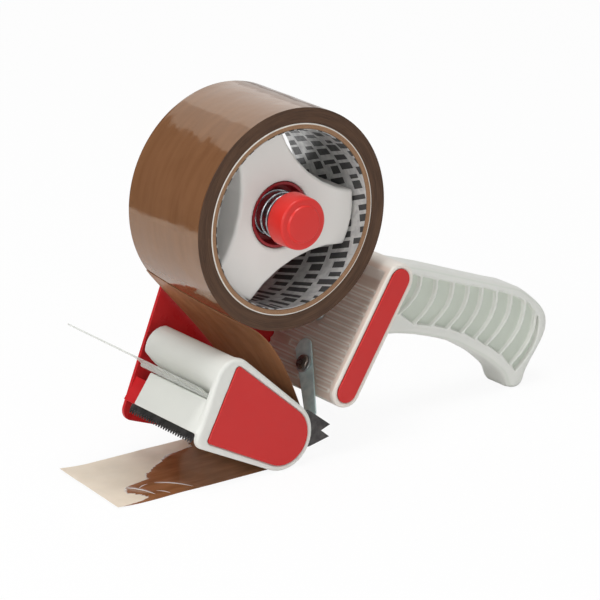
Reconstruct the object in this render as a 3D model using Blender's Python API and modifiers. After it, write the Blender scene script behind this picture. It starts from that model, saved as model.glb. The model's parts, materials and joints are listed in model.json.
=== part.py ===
# Hand-held packing tape dispenser: painted side plate, moulded nose guard with its blade and flap,
# guide roller, spring-loaded reel hub with a roll of tape, rear housing and ribbed handle.
# The reel axis is the reference of the design: X runs from the nose to the handle, Y from the
# knob side to the side plate, Z up. The dispenser stands on its nose and on the handle's tip.

import math

import bmesh
import bpy
from mathutils import Matrix, Vector

NAME = "packing_tape_dispenser"

# Standing height of the reel axis, and the clearances shared by all pieces
REST_HEIGHT = 0.1066
SEAT_GAP = 0.0003
OVERRUN = 0.0010
ARC_STEP = math.radians(10)
TURN_STEPS = 48
MERGE = 0.000001
FLAT_ANGLE = math.radians(0.2)

# Roll of tape and its core
TAPE_WIDTH = 0.0500
ROLL_R = 0.04725
CORE_BORE_R = 0.0384
CORE_WALL = 0.0022
LINER_WALL = 0.0004
WEB_THICKNESS = 0.0003
PEEL_DEG = -127
PEEL_RUN = 0.0160
WRAP_DEG = 20
WRAP_RUN = 0.0240

# Side plate
PLATE_FACE_Y = 0.0270
PLATE_THICKNESS = 0.0015
PLATE_HUB_R = 0.0140
PLATE_TOE_X = -0.0447
PLATE_TOE_RISE = 0.0033
PLATE_TOE_R = 0.0050

# Guide roller
ROLLER_X = -0.0085
ROLLER_R = 0.0145
ROLLER_WALL = 0.0022
ROLLER_WEB = 0.0026
ROLLER_HUB_R = 0.0060
AXLE_R = 0.0030
AXLE_HEAD_R = 0.0052
AXLE_HEAD_THICKNESS = 0.0015

# Nose guard
GUARD_FACE_Y = -0.0300
GUARD_WALL = 0.0030
GUARD_EDGE_ROUND = 0.0012
GUARD_NOSE_R = 0.0150
GUARD_TOE_X = -0.0478
GUARD_TOE_RISE = 0.0073
GUARD_TOE_R = 0.0042
HOOD_CENTRE = (-0.0326, -0.0616)
HOOD_R = 0.0093
HOOD_WALL = 0.0020
HOOD_START_DEG = 78
HOOD_END_DEG = 262
HOOD_FLOOR_WALL = 0.0014
HOOD_FLOOR_DROP = 0.0013
HOOD_END_Y = 0.0225
LIP_TOP = (-0.0424, -0.0694)
LIP_BOTTOM = (-0.0510, -0.0815)
LIP_WALL = 0.0022
LIP_END_Y = 0.0163
INLAY_THICKNESS = 0.0010
INLAY_PROUD = 0.0003
GUARD_RIM = 0.0022
INLAY_TOP = (-0.0307, -0.0577)
INLAY_TOE_X = -0.0448
INLAY_TOE_RISE = 0.0066
INLAY_CORNER_R = 0.0020
HOOD_CUT_Y = 0.0105

# Blade and the flange that carries it
BLADE_THICKNESS = 0.0006
BLADE_SETBACK = 0.0035
BLADE_REACH = 0.0042
BLADE_FAR_Y = 0.0200
BLADE_NEAR_Y = -0.0255
TOOTH_PITCH = 0.00175
TOOTH_DEPTH = 0.0020
FLANGE_SETBACK = 0.0040
FLANGE_END_Y = -0.0240
RIVET_R = 0.0013
RIVET_HEAD_R = 0.0026
RIVET_HEAD_THICKNESS = 0.0011
RIVET_DEPTH = 0.0014
RIVET_SPAN = 0.0240

# Clear flap
FLAP_LENGTH = 0.0475
FLAP_THICKNESS = 0.0005
FLAP_WIDTH = 0.0480
FLAP_ROOT_R = 0.0011
FLAP_RISE_DEG = 34.9
FLAP_CURL = 0.0016

# Reel hub
HUB_NEAR_Y = -0.0170
HUB_WALL = 0.0022
HUB_WAIST_R = 0.0215
HUB_LOBES = 3
HUB_LOBE_DEG = 36
HUB_LOBE_TURN_DEG = -12
HUB_EDGE = 0.0012
HUB_BOSS_R = 0.0062
POCKET_R = 0.0143
POCKET_DEPTH = 0.0090
POCKET_FLOOR = 0.0025
HUB_SHAFT_R = 0.0030
SHAFT_CLEARANCE = 0.0003
CUP_WALL = 0.0013
CUP_FLOOR = 0.0012

# Hub shaft, far nut and washer
SHAFT_SHOULDER_R = 0.0052
SHAFT_SHOULDER = 0.0013
SHAFT_NEAR_Y = -0.0276
SHAFT_STICKOUT = 0.0012
NUT_FLATS = 0.0100
NUT_HEIGHT = 0.0032
WASHER_THICKNESS = 0.0010
WASHER_R = 0.0065

# Brake spring, its washer and the knob
SPRING_OUTER_R = 0.0102
SPRING_WIRE_R = 0.00055
SPRING_TURNS = 4
SPRING_POINTS_PER_TURN = 10
SPRING_WASHER_THICKNESS = 0.0008
SPRING_WASHER_R = 0.0106
KNOB_LENGTH = 0.0102
KNOB_BASE_Y = -0.0231
KNOB_R = 0.0115
KNOB_TAPER = 0.0004
KNOB_CAP_R = 0.0086
KNOB_STEP = 0.0008
KNOB_EDGE = 0.0012
INSERT_R = 0.0046
INSERT_LENGTH = 0.0070

# Rear housing
HOUSING_CENTRE = (0.0384, -0.0570)
HOUSING_TILT_DEG = 57.7
HOUSING_LENGTH = 0.0660
HOUSING_DEPTH = 0.0145
HOUSING_WALL = 0.0024
HOUSING_RECESS = 0.0048
HOUSING_SMOOTH_BAND = 0.0080
HOUSING_EDGE = 0.0010
HOUSING_RIM = 0.0020
RIB_PITCH = 0.0035
RIB_HEIGHT = 0.0007
RIB_COUNT = 14
BOSS_R = 0.0030
BOSS_LENGTH = 0.0100

# Screws
SCREW_R = 0.0016
SCREW_HEAD_R = 0.0033
SCREW_HEAD_THICKNESS = 0.0016
SCREW_LENGTH = 0.0090
SCREW_CLEARANCE = 0.0003

# Handle
HANDLE_LENGTH = 0.1127
HANDLE_WIDTH = 0.0200
HANDLE_EDGE = 0.0042
PANEL_DEPTH = 0.0024
GRIP_RIB = 0.0010
GRIP_RIB_BEND = 2.6
PLUG_WIDTH = 0.0180
PLUG_NECK = 0.0080
PLUG_SCREW_SHARE = 0.292
PLUG_SCREW_SIDE = 0.0045

# Backstop leaf and tape catch
LEAF_THICKNESS = 0.0008
LEAF_WIDTH = 0.0060
LEAF_RUN = 0.0178
LEAF_SIDESTEP = 0.0185
LEAF_TOP_R = 0.0044
LEAF_TOP_SHARE = 0.34
LEAF_SCREW_SIDE = 0.0020
LEAF_CLEARANCE = 0.0024
CATCH_THICKNESS = 0.0010
CATCH_REACH = 0.0267

# Tail of tape on the table
TAIL_REACH_NEAR = 0.0880
TAIL_REACH_FAR = 0.0834

# Outline of the handle's flat sides, from the top of its root round the butt to the underside of
# its root. The first number is a share of the handle's length from the housing's centre, the
# second a share of the drop from that centre to the table.
HANDLE_SHARES = [
    (0.098, 0.436), (0.173, 0.396), (0.253, 0.339), (0.422, 0.209), (0.629, 0.030),
    (0.764, -0.085), (0.847, -0.159), (0.927, -0.307), (0.958, -0.398), (0.963, -0.463),
    (0.956, -0.531), (0.934, -0.614), (0.888, -0.754), (0.862, -0.850), (0.852, -0.912),
    (0.842, -0.930), (0.832, -0.912), (0.812, -0.803), (0.763, -0.688), (0.706, -0.581),
    (0.651, -0.501), (0.564, -0.379), (0.477, -0.292), (0.398, -0.230), (0.331, -0.184),
    (0.232, -0.136), (0.105, -0.117), (0.030, -0.060), (0.056, 0.240),
]
# Upper and lower ends of the panel's ends and of the grip ribs between them, in the same shares
RIB_TOP_SHARES = [
    (0.319, 0.300), (0.365, 0.254), (0.442, 0.194), (0.522, 0.129), (0.597, 0.067),
    (0.665, 0.016), (0.737, -0.048), (0.810, -0.111), (0.878, -0.198), (0.933, -0.323),
    (0.952, -0.405),
]
RIB_BOTTOM_SHARES = [
    (0.221, 0.010), (0.261, -0.040), (0.335, -0.165), (0.419, -0.218), (0.498, -0.282),
    (0.568, -0.355), (0.634, -0.442), (0.689, -0.528), (0.759, -0.642), (0.810, -0.770),
    (0.838, -0.840),
]
# Outline of the tape catch about the roller's centre, in shares of its reach
CATCH_SHARES = [
    (-0.240, 0.262), (0.592, 0.273), (1.000, -0.049), (0.824, -0.112), (0.981, -0.247),
    (0.592, -0.330), (-0.240, -0.262),
]


# Places worked out from the sizes above
CORE_R = CORE_BORE_R + CORE_WALL
ROLL_BORE_R = CORE_R + SEAT_GAP
LINER_R = CORE_BORE_R - SEAT_GAP
HUB_R = LINER_R - LINER_WALL - SEAT_GAP
ROLLER_Z = -REST_HEIGHT + WEB_THICKNESS + SEAT_GAP + ROLLER_R
ROLLER = (ROLLER_X, ROLLER_Z)
PLATE_TOE = (PLATE_TOE_X, ROLLER_Z + PLATE_TOE_RISE)
GUARD_TOE = (GUARD_TOE_X, ROLLER_Z + GUARD_TOE_RISE)
INLAY_TOE = (INLAY_TOE_X, ROLLER_Z + INLAY_TOE_RISE)
PLATE_OUTER_Y = PLATE_FACE_Y + PLATE_THICKNESS
GUARD_INNER_Y = GUARD_FACE_Y + GUARD_WALL
HOUSING_TILT = math.radians(HOUSING_TILT_DEG)
HOUSING_ALONG = (math.cos(HOUSING_TILT), math.sin(HOUSING_TILT))
HOUSING_FRONT = (-math.sin(HOUSING_TILT), math.cos(HOUSING_TILT))
HANDLE_DROP = REST_HEIGHT + HOUSING_CENTRE[1]
HOLE_R = SCREW_R + SCREW_CLEARANCE
SHAFT_FAR_Y = (PLATE_OUTER_Y + 2 * SEAT_GAP + WASHER_THICKNESS + NUT_HEIGHT + SHAFT_STICKOUT)
KNOB_FACE_Y = KNOB_BASE_Y - KNOB_LENGTH
FAR_END_X = HOUSING_CENTRE[0] + HANDLE_LENGTH
ORIGIN = Vector(
    ((TAIL_REACH_NEAR - FAR_END_X) / 2, -(SHAFT_FAR_Y + KNOB_FACE_Y) / 2, REST_HEIGHT)
)


def collection(name):
    found = bpy.data.collections.new(name)
    bpy.context.scene.collection.children.link(found)
    return found


def clear_scene():
    for thing in list(bpy.data.objects):
        bpy.data.objects.remove(thing, do_unlink=True)


def material(name, colour, roughness, metallic=0.0, alpha=1.0):
    made = bpy.data.materials.new(name)
    made.use_nodes = True
    shader = made.node_tree.nodes["Principled BSDF"]
    shader.inputs["Base Color"].default_value = (*colour, 1.0)
    shader.inputs["Roughness"].default_value = roughness
    shader.inputs["Metallic"].default_value = metallic
    shader.inputs["Alpha"].default_value = alpha
    return made


clear_scene()
PARTS = collection(NAME)
CUTTERS = collection(NAME + "_cutters")
ROOT = bpy.data.objects.new("reel_axis", None)
ROOT.location = ORIGIN
PARTS.objects.link(ROOT)

PALE = (0.76, 0.77, 0.74)
RED = (0.47, 0.03, 0.03)
STEEL = (0.55, 0.56, 0.57)


# Points in the X, Z plane

def along(start, end, distance):
    """Point at distance from start on the line towards end."""
    dx, dz = end[0] - start[0], end[1] - start[1]
    share = distance / math.hypot(dx, dz)
    return (start[0] + dx * share, start[1] + dz * share)


def arc(centre, radius, start, end):
    """Points of an arc from start to end, in radians, both ends kept."""
    count = max(1, math.ceil(abs(end - start) / ARC_STEP - 1e-6))
    angles = [start + (end - start) * i / count for i in range(count + 1)]
    return [
        (centre[0] + radius * math.cos(a), centre[1] + radius * math.sin(a)) for a in angles
    ]


def tangent_turn(one, two):
    """Direction, in radians, in which a belt from one circle to the next faces."""
    (c, r), (d, s) = one, two
    dx, dz = d[0] - c[0], d[1] - c[1]
    return math.atan2(dz, dx) - math.acos((r - s) / math.hypot(dx, dz))


def touched(circles, place):
    """Circles without the one at place, where a belt round the others clears it."""
    others = circles[:place] + circles[place + 1:]
    turn = tangent_turn(circles[place - 1], circles[place + 1])
    reaches = [
        c[0] * math.cos(turn) + c[1] * math.sin(turn) + r
        for c, r in (circles[place - 1], circles[place])
    ]
    return others if reaches[1] < reaches[0] else circles


def belt(circles):
    """Outline of a belt drawn round circles (centre, radius), listed anticlockwise."""
    turns = [tangent_turn(a, b) for a, b in zip(circles, circles[1:] + circles[:1])]
    points = []
    for i, (centre, radius) in enumerate(circles):
        start, end = turns[i - 1], turns[i]
        while end < start:
            end += math.tau
        while end - start > math.tau:
            end -= math.tau
        points += arc(centre, radius, start, end)
    return points


def ribbon(path, thickness):
    """Closed outline of a strip of even thickness along path."""
    left, right = [], []
    for i, point in enumerate(path):
        before = path[max(i - 1, 0)]
        after = path[min(i + 1, len(path) - 1)]
        first = Vector((point[0] - before[0], point[1] - before[1]))
        second = Vector((after[0] - point[0], after[1] - point[1]))
        first = first.normalized() if first.length else second.normalized()
        second = second.normalized() if second.length else first
        side = (first + second).normalized()
        half = thickness / 2 / max(side.dot(first), 0.3)
        left.append((point[0] - side.y * half, point[1] + side.x * half))
        right.append((point[0] + side.y * half, point[1] - side.x * half))
    return left + right[::-1]


def smooth(points, steps):
    """Closed curve through points, with steps between two of them."""
    curve = []
    count = len(points)
    for i in range(count):
        a, b, c, d = (Vector(points[(i + k) % count]) for k in (-1, 0, 1, 2))
        for j in range(steps):
            t = j / steps
            p = b + (c - a) * (t / 2) + (2 * a - 5 * b + 4 * c - d) * (t * t / 2)
            p += (3 * b - a - 3 * c + d) * (t * t * t / 2)
            curve.append((p.x, p.y))
    return curve


def pushed(outline, by):
    """Anticlockwise outline with each point moved outwards by a distance."""
    moved = []
    count = len(outline)
    for i, point in enumerate(outline):
        before, after = Vector(outline[i - 1]), Vector(outline[(i + 1) % count])
        first = (Vector(point) - before).normalized()
        second = (after - Vector(point)).normalized()
        side = (first + second).normalized()
        reach = by / max(side.dot(first), 0.5)
        moved.append((point[0] + side.y * reach, point[1] - side.x * reach))
    return moved


def housing_point(s, n):
    """Point at s along the housing and n to its front, from its centre."""
    return (
        HOUSING_CENTRE[0] + s * HOUSING_ALONG[0] + n * HOUSING_FRONT[0],
        HOUSING_CENTRE[1] + s * HOUSING_ALONG[1] + n * HOUSING_FRONT[1],
    )


def handle_point(share):
    return (
        HOUSING_CENTRE[0] + share[0] * HANDLE_LENGTH,
        HOUSING_CENTRE[1] + share[1] * HANDLE_DROP,
    )


# Solids

def finish(obj, mat, smooth_deg=35):
    """Give obj its material, its parent and smooth shading."""
    obj.data.materials.clear()
    obj.data.materials.append(mat)
    obj.data.shade_smooth()
    obj.data.set_sharp_from_angle(angle=math.radians(smooth_deg))
    return obj


def add(name, mesh, origin=(0, 0), into=None):
    """New object from mesh, whose points are about the reel axis, with its own origin in X, Z."""
    mesh.transform(Matrix.Translation((-origin[0], 0, -origin[1])))
    obj = bpy.data.objects.new(name, mesh)
    (into or PARTS).objects.link(obj)
    obj.parent = ROOT
    obj.location = (origin[0], 0, origin[1])
    return obj


def cutter(mesh):
    """Hidden object that other pieces are cut with or joined to."""
    obj = add("cutter", mesh, into=CUTTERS)
    obj.hide_render = True
    obj.display_type = "WIRE"
    return obj


def prism(outline, low, high):
    """Mesh of an outline in X, Z, from low to high along Y."""
    curve = bpy.data.curves.new("outline", "CURVE")
    curve.dimensions = "2D"
    curve.fill_mode = "BOTH"
    curve.extrude = (high - low) / 2
    line = curve.splines.new("POLY")
    line.points.add(len(outline) - 1)
    for spot, (x, z) in zip(line.points, outline):
        spot.co = (x, z, 0, 1)
    line.use_cyclic_u = True
    guide = bpy.data.objects.new("outline", curve)
    CUTTERS.objects.link(guide)
    guide.rotation_euler.x = math.pi / 2
    guide.location.y = (low + high) / 2
    bpy.context.view_layer.update()
    evaluated = guide.evaluated_get(bpy.context.evaluated_depsgraph_get())
    mesh = bpy.data.meshes.new_from_object(evaluated)
    mesh.transform(guide.matrix_world)
    bpy.data.objects.remove(guide)
    bpy.data.curves.remove(curve)
    weld(mesh, flat_ends=True)
    return mesh


def swollen(outline, low, high, edge):
    """Mesh like prism's, with flat ends and sides that swell out by edge, clear of the table."""
    steps = 4
    turns = [math.pi / 2 * k / steps for k in range(steps + 1)]
    levels = [(low + edge * (1 - math.cos(t)), edge * math.sin(t)) for t in turns]
    levels += [(high - edge * (1 - math.cos(t)), edge * math.sin(t)) for t in turns[::-1]]
    work = bmesh.new()
    rings = []
    for y, out in levels:
        points = pushed(outline, out)
        rings.append([work.verts.new((x, y, max(z, -REST_HEIGHT))) for x, z in points])
    count = len(outline)
    for lower, upper in zip(rings, rings[1:]):
        for i in range(count):
            j = (i + 1) % count
            work.faces.new((lower[i], lower[j], upper[j], upper[i]))
    work.faces.new(rings[0])
    work.faces.new(rings[-1][::-1])
    mesh = bpy.data.meshes.new("swollen")
    work.to_mesh(mesh)
    work.free()
    weld(mesh, flat_ends=True)
    return mesh


def weld(mesh, flat_ends=False):
    """Join the points that lie together; with flat_ends, also make each end one face."""
    work = bmesh.new()
    work.from_mesh(mesh)
    bmesh.ops.remove_doubles(work, verts=work.verts, dist=MERGE)
    if flat_ends:
        bmesh.ops.dissolve_limit(
            work, angle_limit=FLAT_ANGLE, verts=work.verts, edges=work.edges
        )
    bmesh.ops.recalc_face_normals(work, faces=work.faces)
    work.to_mesh(mesh)
    work.free()


def merged(meshes):
    """One mesh from several that lie apart."""
    work = bmesh.new()
    for mesh in meshes:
        work.from_mesh(mesh)
    whole = bpy.data.meshes.new("merged")
    work.to_mesh(whole)
    work.free()
    return whole


def rod(centre, radius, low, high, steps=TURN_STEPS):
    """Mesh of a cylinder about a Y axis through centre."""
    work = bmesh.new()
    bmesh.ops.create_cone(
        work, cap_ends=True, segments=steps, radius1=radius, radius2=radius, depth=high - low
    )
    mesh = bpy.data.meshes.new("rod")
    work.to_mesh(mesh)
    work.free()
    mesh.transform(Matrix.Rotation(-math.pi / 2, 4, "X"))
    mesh.transform(Matrix.Translation((centre[0], (low + high) / 2, centre[1])))
    return mesh


def block(start, end, low, high):
    """Mesh of a box in the housing's frame, from start to end (s, n), low to high along Y."""
    corners = [
        housing_point(start[0], start[1]), housing_point(end[0], start[1]),
        housing_point(end[0], end[1]), housing_point(start[0], end[1]),
    ]
    return prism(corners, low, high)


def turned(name, profile, mat, centre=(0, 0), closed=True, steps=TURN_STEPS):
    """Solid turned about a Y axis: profile (radius, y) runs down its outer side, far to near."""
    work = bmesh.new()
    spots = [work.verts.new((r, 0, y)) for r, y in profile]
    pairs = list(zip(spots, spots[1:]))
    if closed:
        pairs.append((spots[-1], spots[0]))
    for pair in pairs:
        work.edges.new(pair)
    mesh = bpy.data.meshes.new(name)
    work.to_mesh(mesh)
    work.free()
    obj = bpy.data.objects.new(name, mesh)
    PARTS.objects.link(obj)
    obj.parent = ROOT
    obj.location = (centre[0], 0, centre[1])
    obj.rotation_euler.x = -math.pi / 2
    screw = obj.modifiers.new("turn", "SCREW")
    screw.steps = steps
    screw.render_steps = steps
    screw.use_merge_vertices = True
    screw.merge_threshold = MERGE
    screw.use_smooth_shade = True
    finish(obj, mat)
    return obj


def turned_mesh(profile, centre=(0, 0), closed=True, steps=TURN_STEPS):
    """Mesh of a turned shape, in place, for joining and cutting."""
    obj = turned("turning", profile, WHITE, centre, closed, steps)
    bpy.context.view_layer.update()
    evaluated = obj.evaluated_get(bpy.context.evaluated_depsgraph_get())
    mesh = bpy.data.meshes.new_from_object(evaluated)
    mesh.transform(ROOT.matrix_world.inverted() @ obj.matrix_world)
    bpy.data.objects.remove(obj)
    weld(mesh)
    return mesh


def boolean(obj, mesh, kind="DIFFERENCE"):
    change = obj.modifiers.new(kind.lower(), "BOOLEAN")
    change.operation = kind
    change.solver = "EXACT"
    change.object = cutter(mesh)
    return obj


def bevel(obj, width, segments=2, angle_deg=40, by_weight=False):
    edge = obj.modifiers.new("bevel", "BEVEL")
    edge.width = width
    edge.segments = segments
    edge.limit_method = "WEIGHT" if by_weight else "ANGLE"
    edge.angle_limit = math.radians(angle_deg)
    return obj


def weigh_rim(mesh, y, weight=1.0):
    """Mark the edges of the face at y, so that only they are rounded."""
    work = bmesh.new()
    work.from_mesh(mesh)
    layer = work.edges.layers.float.new("bevel_weight_edge")
    for edge in work.edges:
        flat = all(abs(v.co.y - y) < MERGE for v in edge.verts)
        if flat and any(abs(f.normal.y) < 0.5 for f in edge.link_faces):
            edge[layer] = weight
    work.to_mesh(mesh)
    work.free()
    return mesh


WHITE = material("pale_plastic", PALE, 0.38)


# Side plate: one stamped plate with the flange that carries the blade

def lip_frame():
    """Unit vectors down the guard's lip and back from it."""
    dx, dz = LIP_BOTTOM[0] - LIP_TOP[0], LIP_BOTTOM[1] - LIP_TOP[1]
    length = math.hypot(dx, dz)
    return (dx / length, dz / length), (-dz / length, dx / length), length


def lip_point(down, back):
    """Point at down along the lip from its top, and back behind its middle."""
    d, b, _ = lip_frame()
    return (LIP_TOP[0] + d[0] * down + b[0] * back, LIP_TOP[1] + d[1] * down + b[1] * back)


def lip_slab(start, end, front, back, low, high):
    """Slab parallel to the lip, from start to end down it and from front to back behind it."""
    corners = [
        lip_point(start, front), lip_point(end, front), lip_point(end, back),
        lip_point(start, back),
    ]
    return prism(corners, low, high)


LIP_LENGTH = lip_frame()[2]
BLADE_FRONT = LIP_WALL / 2 + SEAT_GAP
FLANGE_FRONT = BLADE_FRONT + BLADE_THICKNESS + SEAT_GAP
FLANGE_BACK = FLANGE_FRONT + PLATE_THICKNESS
RIVET_DOWN = (FLANGE_SETBACK + LIP_LENGTH) / 2
RIVET_MIDDLE_Y = (LIP_END_Y + GUARD_INNER_Y) / 2
RIVET_YS = [RIVET_MIDDLE_Y - RIVET_SPAN / 2, RIVET_MIDDLE_Y + RIVET_SPAN / 2]


def lip_rod(radius, front, back, y, steps=20):
    """Rod square to the lip, at the rivets' height, from front to back behind its middle."""
    a, b = lip_point(RIVET_DOWN, front), lip_point(RIVET_DOWN, back)
    work = bmesh.new()
    bmesh.ops.create_cone(
        work, cap_ends=True, segments=steps, radius1=radius, radius2=radius, depth=back - front
    )
    mesh = bpy.data.meshes.new("rivet")
    work.to_mesh(mesh)
    work.free()
    direction = Vector((b[0] - a[0], 0, b[1] - a[1]))
    mesh.transform(direction.to_track_quat("Z", "Y").to_matrix().to_4x4())
    mesh.transform(Matrix.Translation(((a[0] + b[0]) / 2, y, (a[1] + b[1]) / 2)))
    return mesh


def housing_ends(radius):
    half = (HOUSING_LENGTH - HOUSING_DEPTH) / 2
    return (housing_point(-half, 0), radius), (housing_point(half, 0), radius)


FIX_SPOTS = [housing_point(s, 0) for s in (-HOUSING_LENGTH / 4, HOUSING_LENGTH / 4)]


def side_plate():
    low, high = housing_ends(HOUSING_DEPTH / 2)
    bend = lip_point(FLANGE_SETBACK + PLATE_THICKNESS, (FLANGE_FRONT + FLANGE_BACK) / 2)
    circles = [
        ((0, 0), PLATE_HUB_R), (bend, PLATE_THICKNESS / 2), (PLATE_TOE, PLATE_TOE_R),
        (ROLLER, ROLLER_R), low, high,
    ]
    outline = belt(touched(circles, 1))
    obj = add("side_plate", prism(outline, PLATE_FACE_Y, PLATE_OUTER_Y))
    flange = lip_slab(
        FLANGE_SETBACK, LIP_LENGTH, FLANGE_FRONT, FLANGE_BACK, FLANGE_END_Y,
        PLATE_FACE_Y + PLATE_THICKNESS / 2,
    )
    boolean(obj, flange, "UNION")
    ends = (PLATE_FACE_Y - OVERRUN, PLATE_OUTER_Y + OVERRUN)
    boolean(obj, rod((0, 0), HUB_SHAFT_R + SEAT_GAP, *ends, 32))
    boolean(obj, rod(ROLLER, AXLE_R + SEAT_GAP, *ends, 32))
    boolean(obj, merged([rod(spot, HOLE_R, *ends, 20) for spot in FIX_SPOTS]))
    holes = [
        lip_rod(RIVET_R + SEAT_GAP, FLANGE_FRONT - OVERRUN, FLANGE_BACK + OVERRUN, y)
        for y in RIVET_YS
    ]
    boolean(obj, merged(holes))
    return finish(obj, material("red_paint", (0.38, 0.02, 0.03), 0.35, 0.1))


# Nose guard, its inlay, the blade, its rivets and the flap

GUARD_CIRCLES = [
    (HOOD_CENTRE, HOOD_R), (GUARD_TOE, GUARD_TOE_R), (ROLLER, GUARD_NOSE_R),
]
INLAY_CIRCLES = [
    (INLAY_TOP, INLAY_CORNER_R), (INLAY_TOE, INLAY_CORNER_R), (ROLLER, GUARD_NOSE_R - GUARD_RIM),
]


def shrunk(circles, by):
    return [(centre, radius - by) for centre, radius in circles]


def hood_cut():
    """Wedge that slants the far end of the hood's front, below its middle."""
    top, low = HOOD_CENTRE[1], LIP_TOP[1]
    outline = [
        (HOOD_END_Y + OVERRUN, top), (HOOD_END_Y, top), (HOOD_CUT_Y, low),
        (HOOD_END_Y + OVERRUN, low),
    ]
    front = HOOD_CENTRE[0] - HOOD_R - OVERRUN
    mesh = prism(outline, front, HOOD_CENTRE[0])
    mesh.transform(Matrix(((0, 1, 0, 0), (1, 0, 0, 0), (0, 0, 1, 0), (0, 0, 0, 1))))
    weld(mesh)
    return mesh


def nose_guard():
    panel = prism(belt(GUARD_CIRCLES), GUARD_FACE_Y, GUARD_INNER_Y)
    obj = add("nose_guard", weigh_rim(panel, GUARD_FACE_Y))
    bevel(obj, GUARD_EDGE_ROUND, 3, by_weight=True)
    start = GUARD_INNER_Y - GUARD_WALL / 2
    mid_r = HOOD_R - HOOD_WALL / 2
    curl = arc(HOOD_CENTRE, mid_r, math.radians(HOOD_START_DEG), math.radians(HOOD_END_DEG))
    boolean(obj, prism(ribbon(curl, HOOD_WALL), start, HOOD_END_Y), "UNION")
    floor_z = LIP_TOP[1] - HOOD_FLOOR_DROP
    floor = [(curl[-1][0], floor_z), (LIP_TOP[0] - LIP_WALL / 4, floor_z)]
    near, far = start + GUARD_WALL / 6, LIP_END_Y - SEAT_GAP
    boolean(obj, prism(ribbon(floor, HOOD_FLOOR_WALL), near, far), "UNION")
    lip = lip_slab(0, LIP_LENGTH, -LIP_WALL / 2, LIP_WALL / 2, start, LIP_END_Y)
    boolean(obj, lip, "UNION")
    boolean(obj, hood_cut())
    pocket = prism(
        belt(INLAY_CIRCLES), GUARD_FACE_Y - OVERRUN,
        GUARD_FACE_Y + INLAY_THICKNESS - INLAY_PROUD + SEAT_GAP,
    )
    boolean(obj, pocket)
    near, far = GUARD_INNER_Y - GUARD_WALL / 3, GUARD_INNER_Y + OVERRUN
    boolean(obj, rod(ROLLER, AXLE_R + SEAT_GAP, near, far, 32))
    holes = [
        lip_rod(RIVET_R + SEAT_GAP, LIP_WALL / 2 - RIVET_DEPTH, LIP_WALL / 2 + OVERRUN, y)
        for y in RIVET_YS
    ]
    boolean(obj, merged(holes))
    return finish(obj, WHITE)


def inlay(name, circles):
    face = GUARD_FACE_Y - INLAY_PROUD
    mesh = weigh_rim(prism(belt(circles), face, face + INLAY_THICKNESS), face)
    obj = bevel(add(name, mesh), INLAY_PROUD, 1, by_weight=True)
    return finish(obj, RED_PLASTIC)


def blade():
    """Toothed strip: an outline in Y and down the lip, with teeth along its lower edge.

    Past the lip's far end only its lower part goes on."""
    reach = LIP_LENGTH + BLADE_REACH
    root = reach - TOOTH_DEPTH
    count = round((BLADE_FAR_Y - BLADE_NEAR_Y) / TOOTH_PITCH)
    pitch = (BLADE_FAR_Y - BLADE_NEAR_Y) / count
    edge = [(BLADE_NEAR_Y, BLADE_SETBACK), (BLADE_NEAR_Y, root)]
    for i in range(count):
        near = BLADE_NEAR_Y + i * pitch
        edge += [(near + pitch / 2, reach), (near + pitch, root)]
    step = LIP_END_Y - OVERRUN
    edge += [(BLADE_FAR_Y, LIP_LENGTH), (step, LIP_LENGTH), (step, BLADE_SETBACK)]
    mesh = prism(edge, 0, BLADE_THICKNESS)
    d, b, _ = lip_frame()
    mesh.transform(Matrix((
        (0, b[0], d[0], LIP_TOP[0] + b[0] * BLADE_FRONT),
        (1, 0, 0, 0),
        (0, b[1], d[1], LIP_TOP[1] + b[1] * BLADE_FRONT),
        (0, 0, 0, 1),
    )))
    weld(mesh)
    obj = add("blade", mesh)
    holes = [
        lip_rod(RIVET_R + SEAT_GAP, BLADE_FRONT - OVERRUN, FLANGE_FRONT + OVERRUN, y)
        for y in RIVET_YS
    ]
    boolean(obj, merged(holes))
    return finish(obj, material("blade_steel", (0.035, 0.035, 0.04), 0.35, 0.9))


def rivets():
    made = []
    for i, y in enumerate(RIVET_YS):
        shank = lip_rod(RIVET_R, LIP_WALL / 2 - RIVET_DEPTH + SEAT_GAP, FLANGE_BACK + OVERRUN, y)
        obj = add("blade_rivet_%d" % (i + 1), shank)
        base = FLANGE_BACK + SEAT_GAP
        head = lip_rod(RIVET_HEAD_R, base, base + RIVET_HEAD_THICKNESS, y)
        boolean(obj, head, "UNION")
        made.append(finish(obj, ZINC))
    return made


def flap_path():
    """Middle line of the flap about its root: it curls up a little to its tip."""
    rise = math.radians(FLAP_RISE_DEG)
    ahead = (-math.cos(rise), math.sin(rise))
    up = (math.sin(rise), math.cos(rise))
    steps = 8
    path = []
    for i in range(steps + 1):
        share = i / steps
        lift = FLAP_CURL * (share * share - share)
        run = FLAP_LENGTH * share
        path.append((ahead[0] * run + up[0] * lift, ahead[1] * run + up[1] * lift))
    return path


FLAP_ROOT = lip_point(-(FLAP_ROOT_R + SEAT_GAP), -LIP_WALL / 4)


def flap():
    path = [(FLAP_ROOT[0] + x, FLAP_ROOT[1] + z) for x, z in flap_path()]
    half = FLAP_WIDTH / 2
    bead = rod(FLAP_ROOT, FLAP_ROOT_R, -half, half, 16)
    obj = add("flap", bead, FLAP_ROOT)
    sheet = prism(ribbon(path, FLAP_THICKNESS), -half + SEAT_GAP, half - SEAT_GAP)
    boolean(obj, sheet, "UNION")
    return finish(obj, material("clear_plastic", (0.9, 0.93, 0.92), 0.1, 0.0, 0.4))


# Guide roller, its axle, the tape catch and the threaded tape

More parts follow.
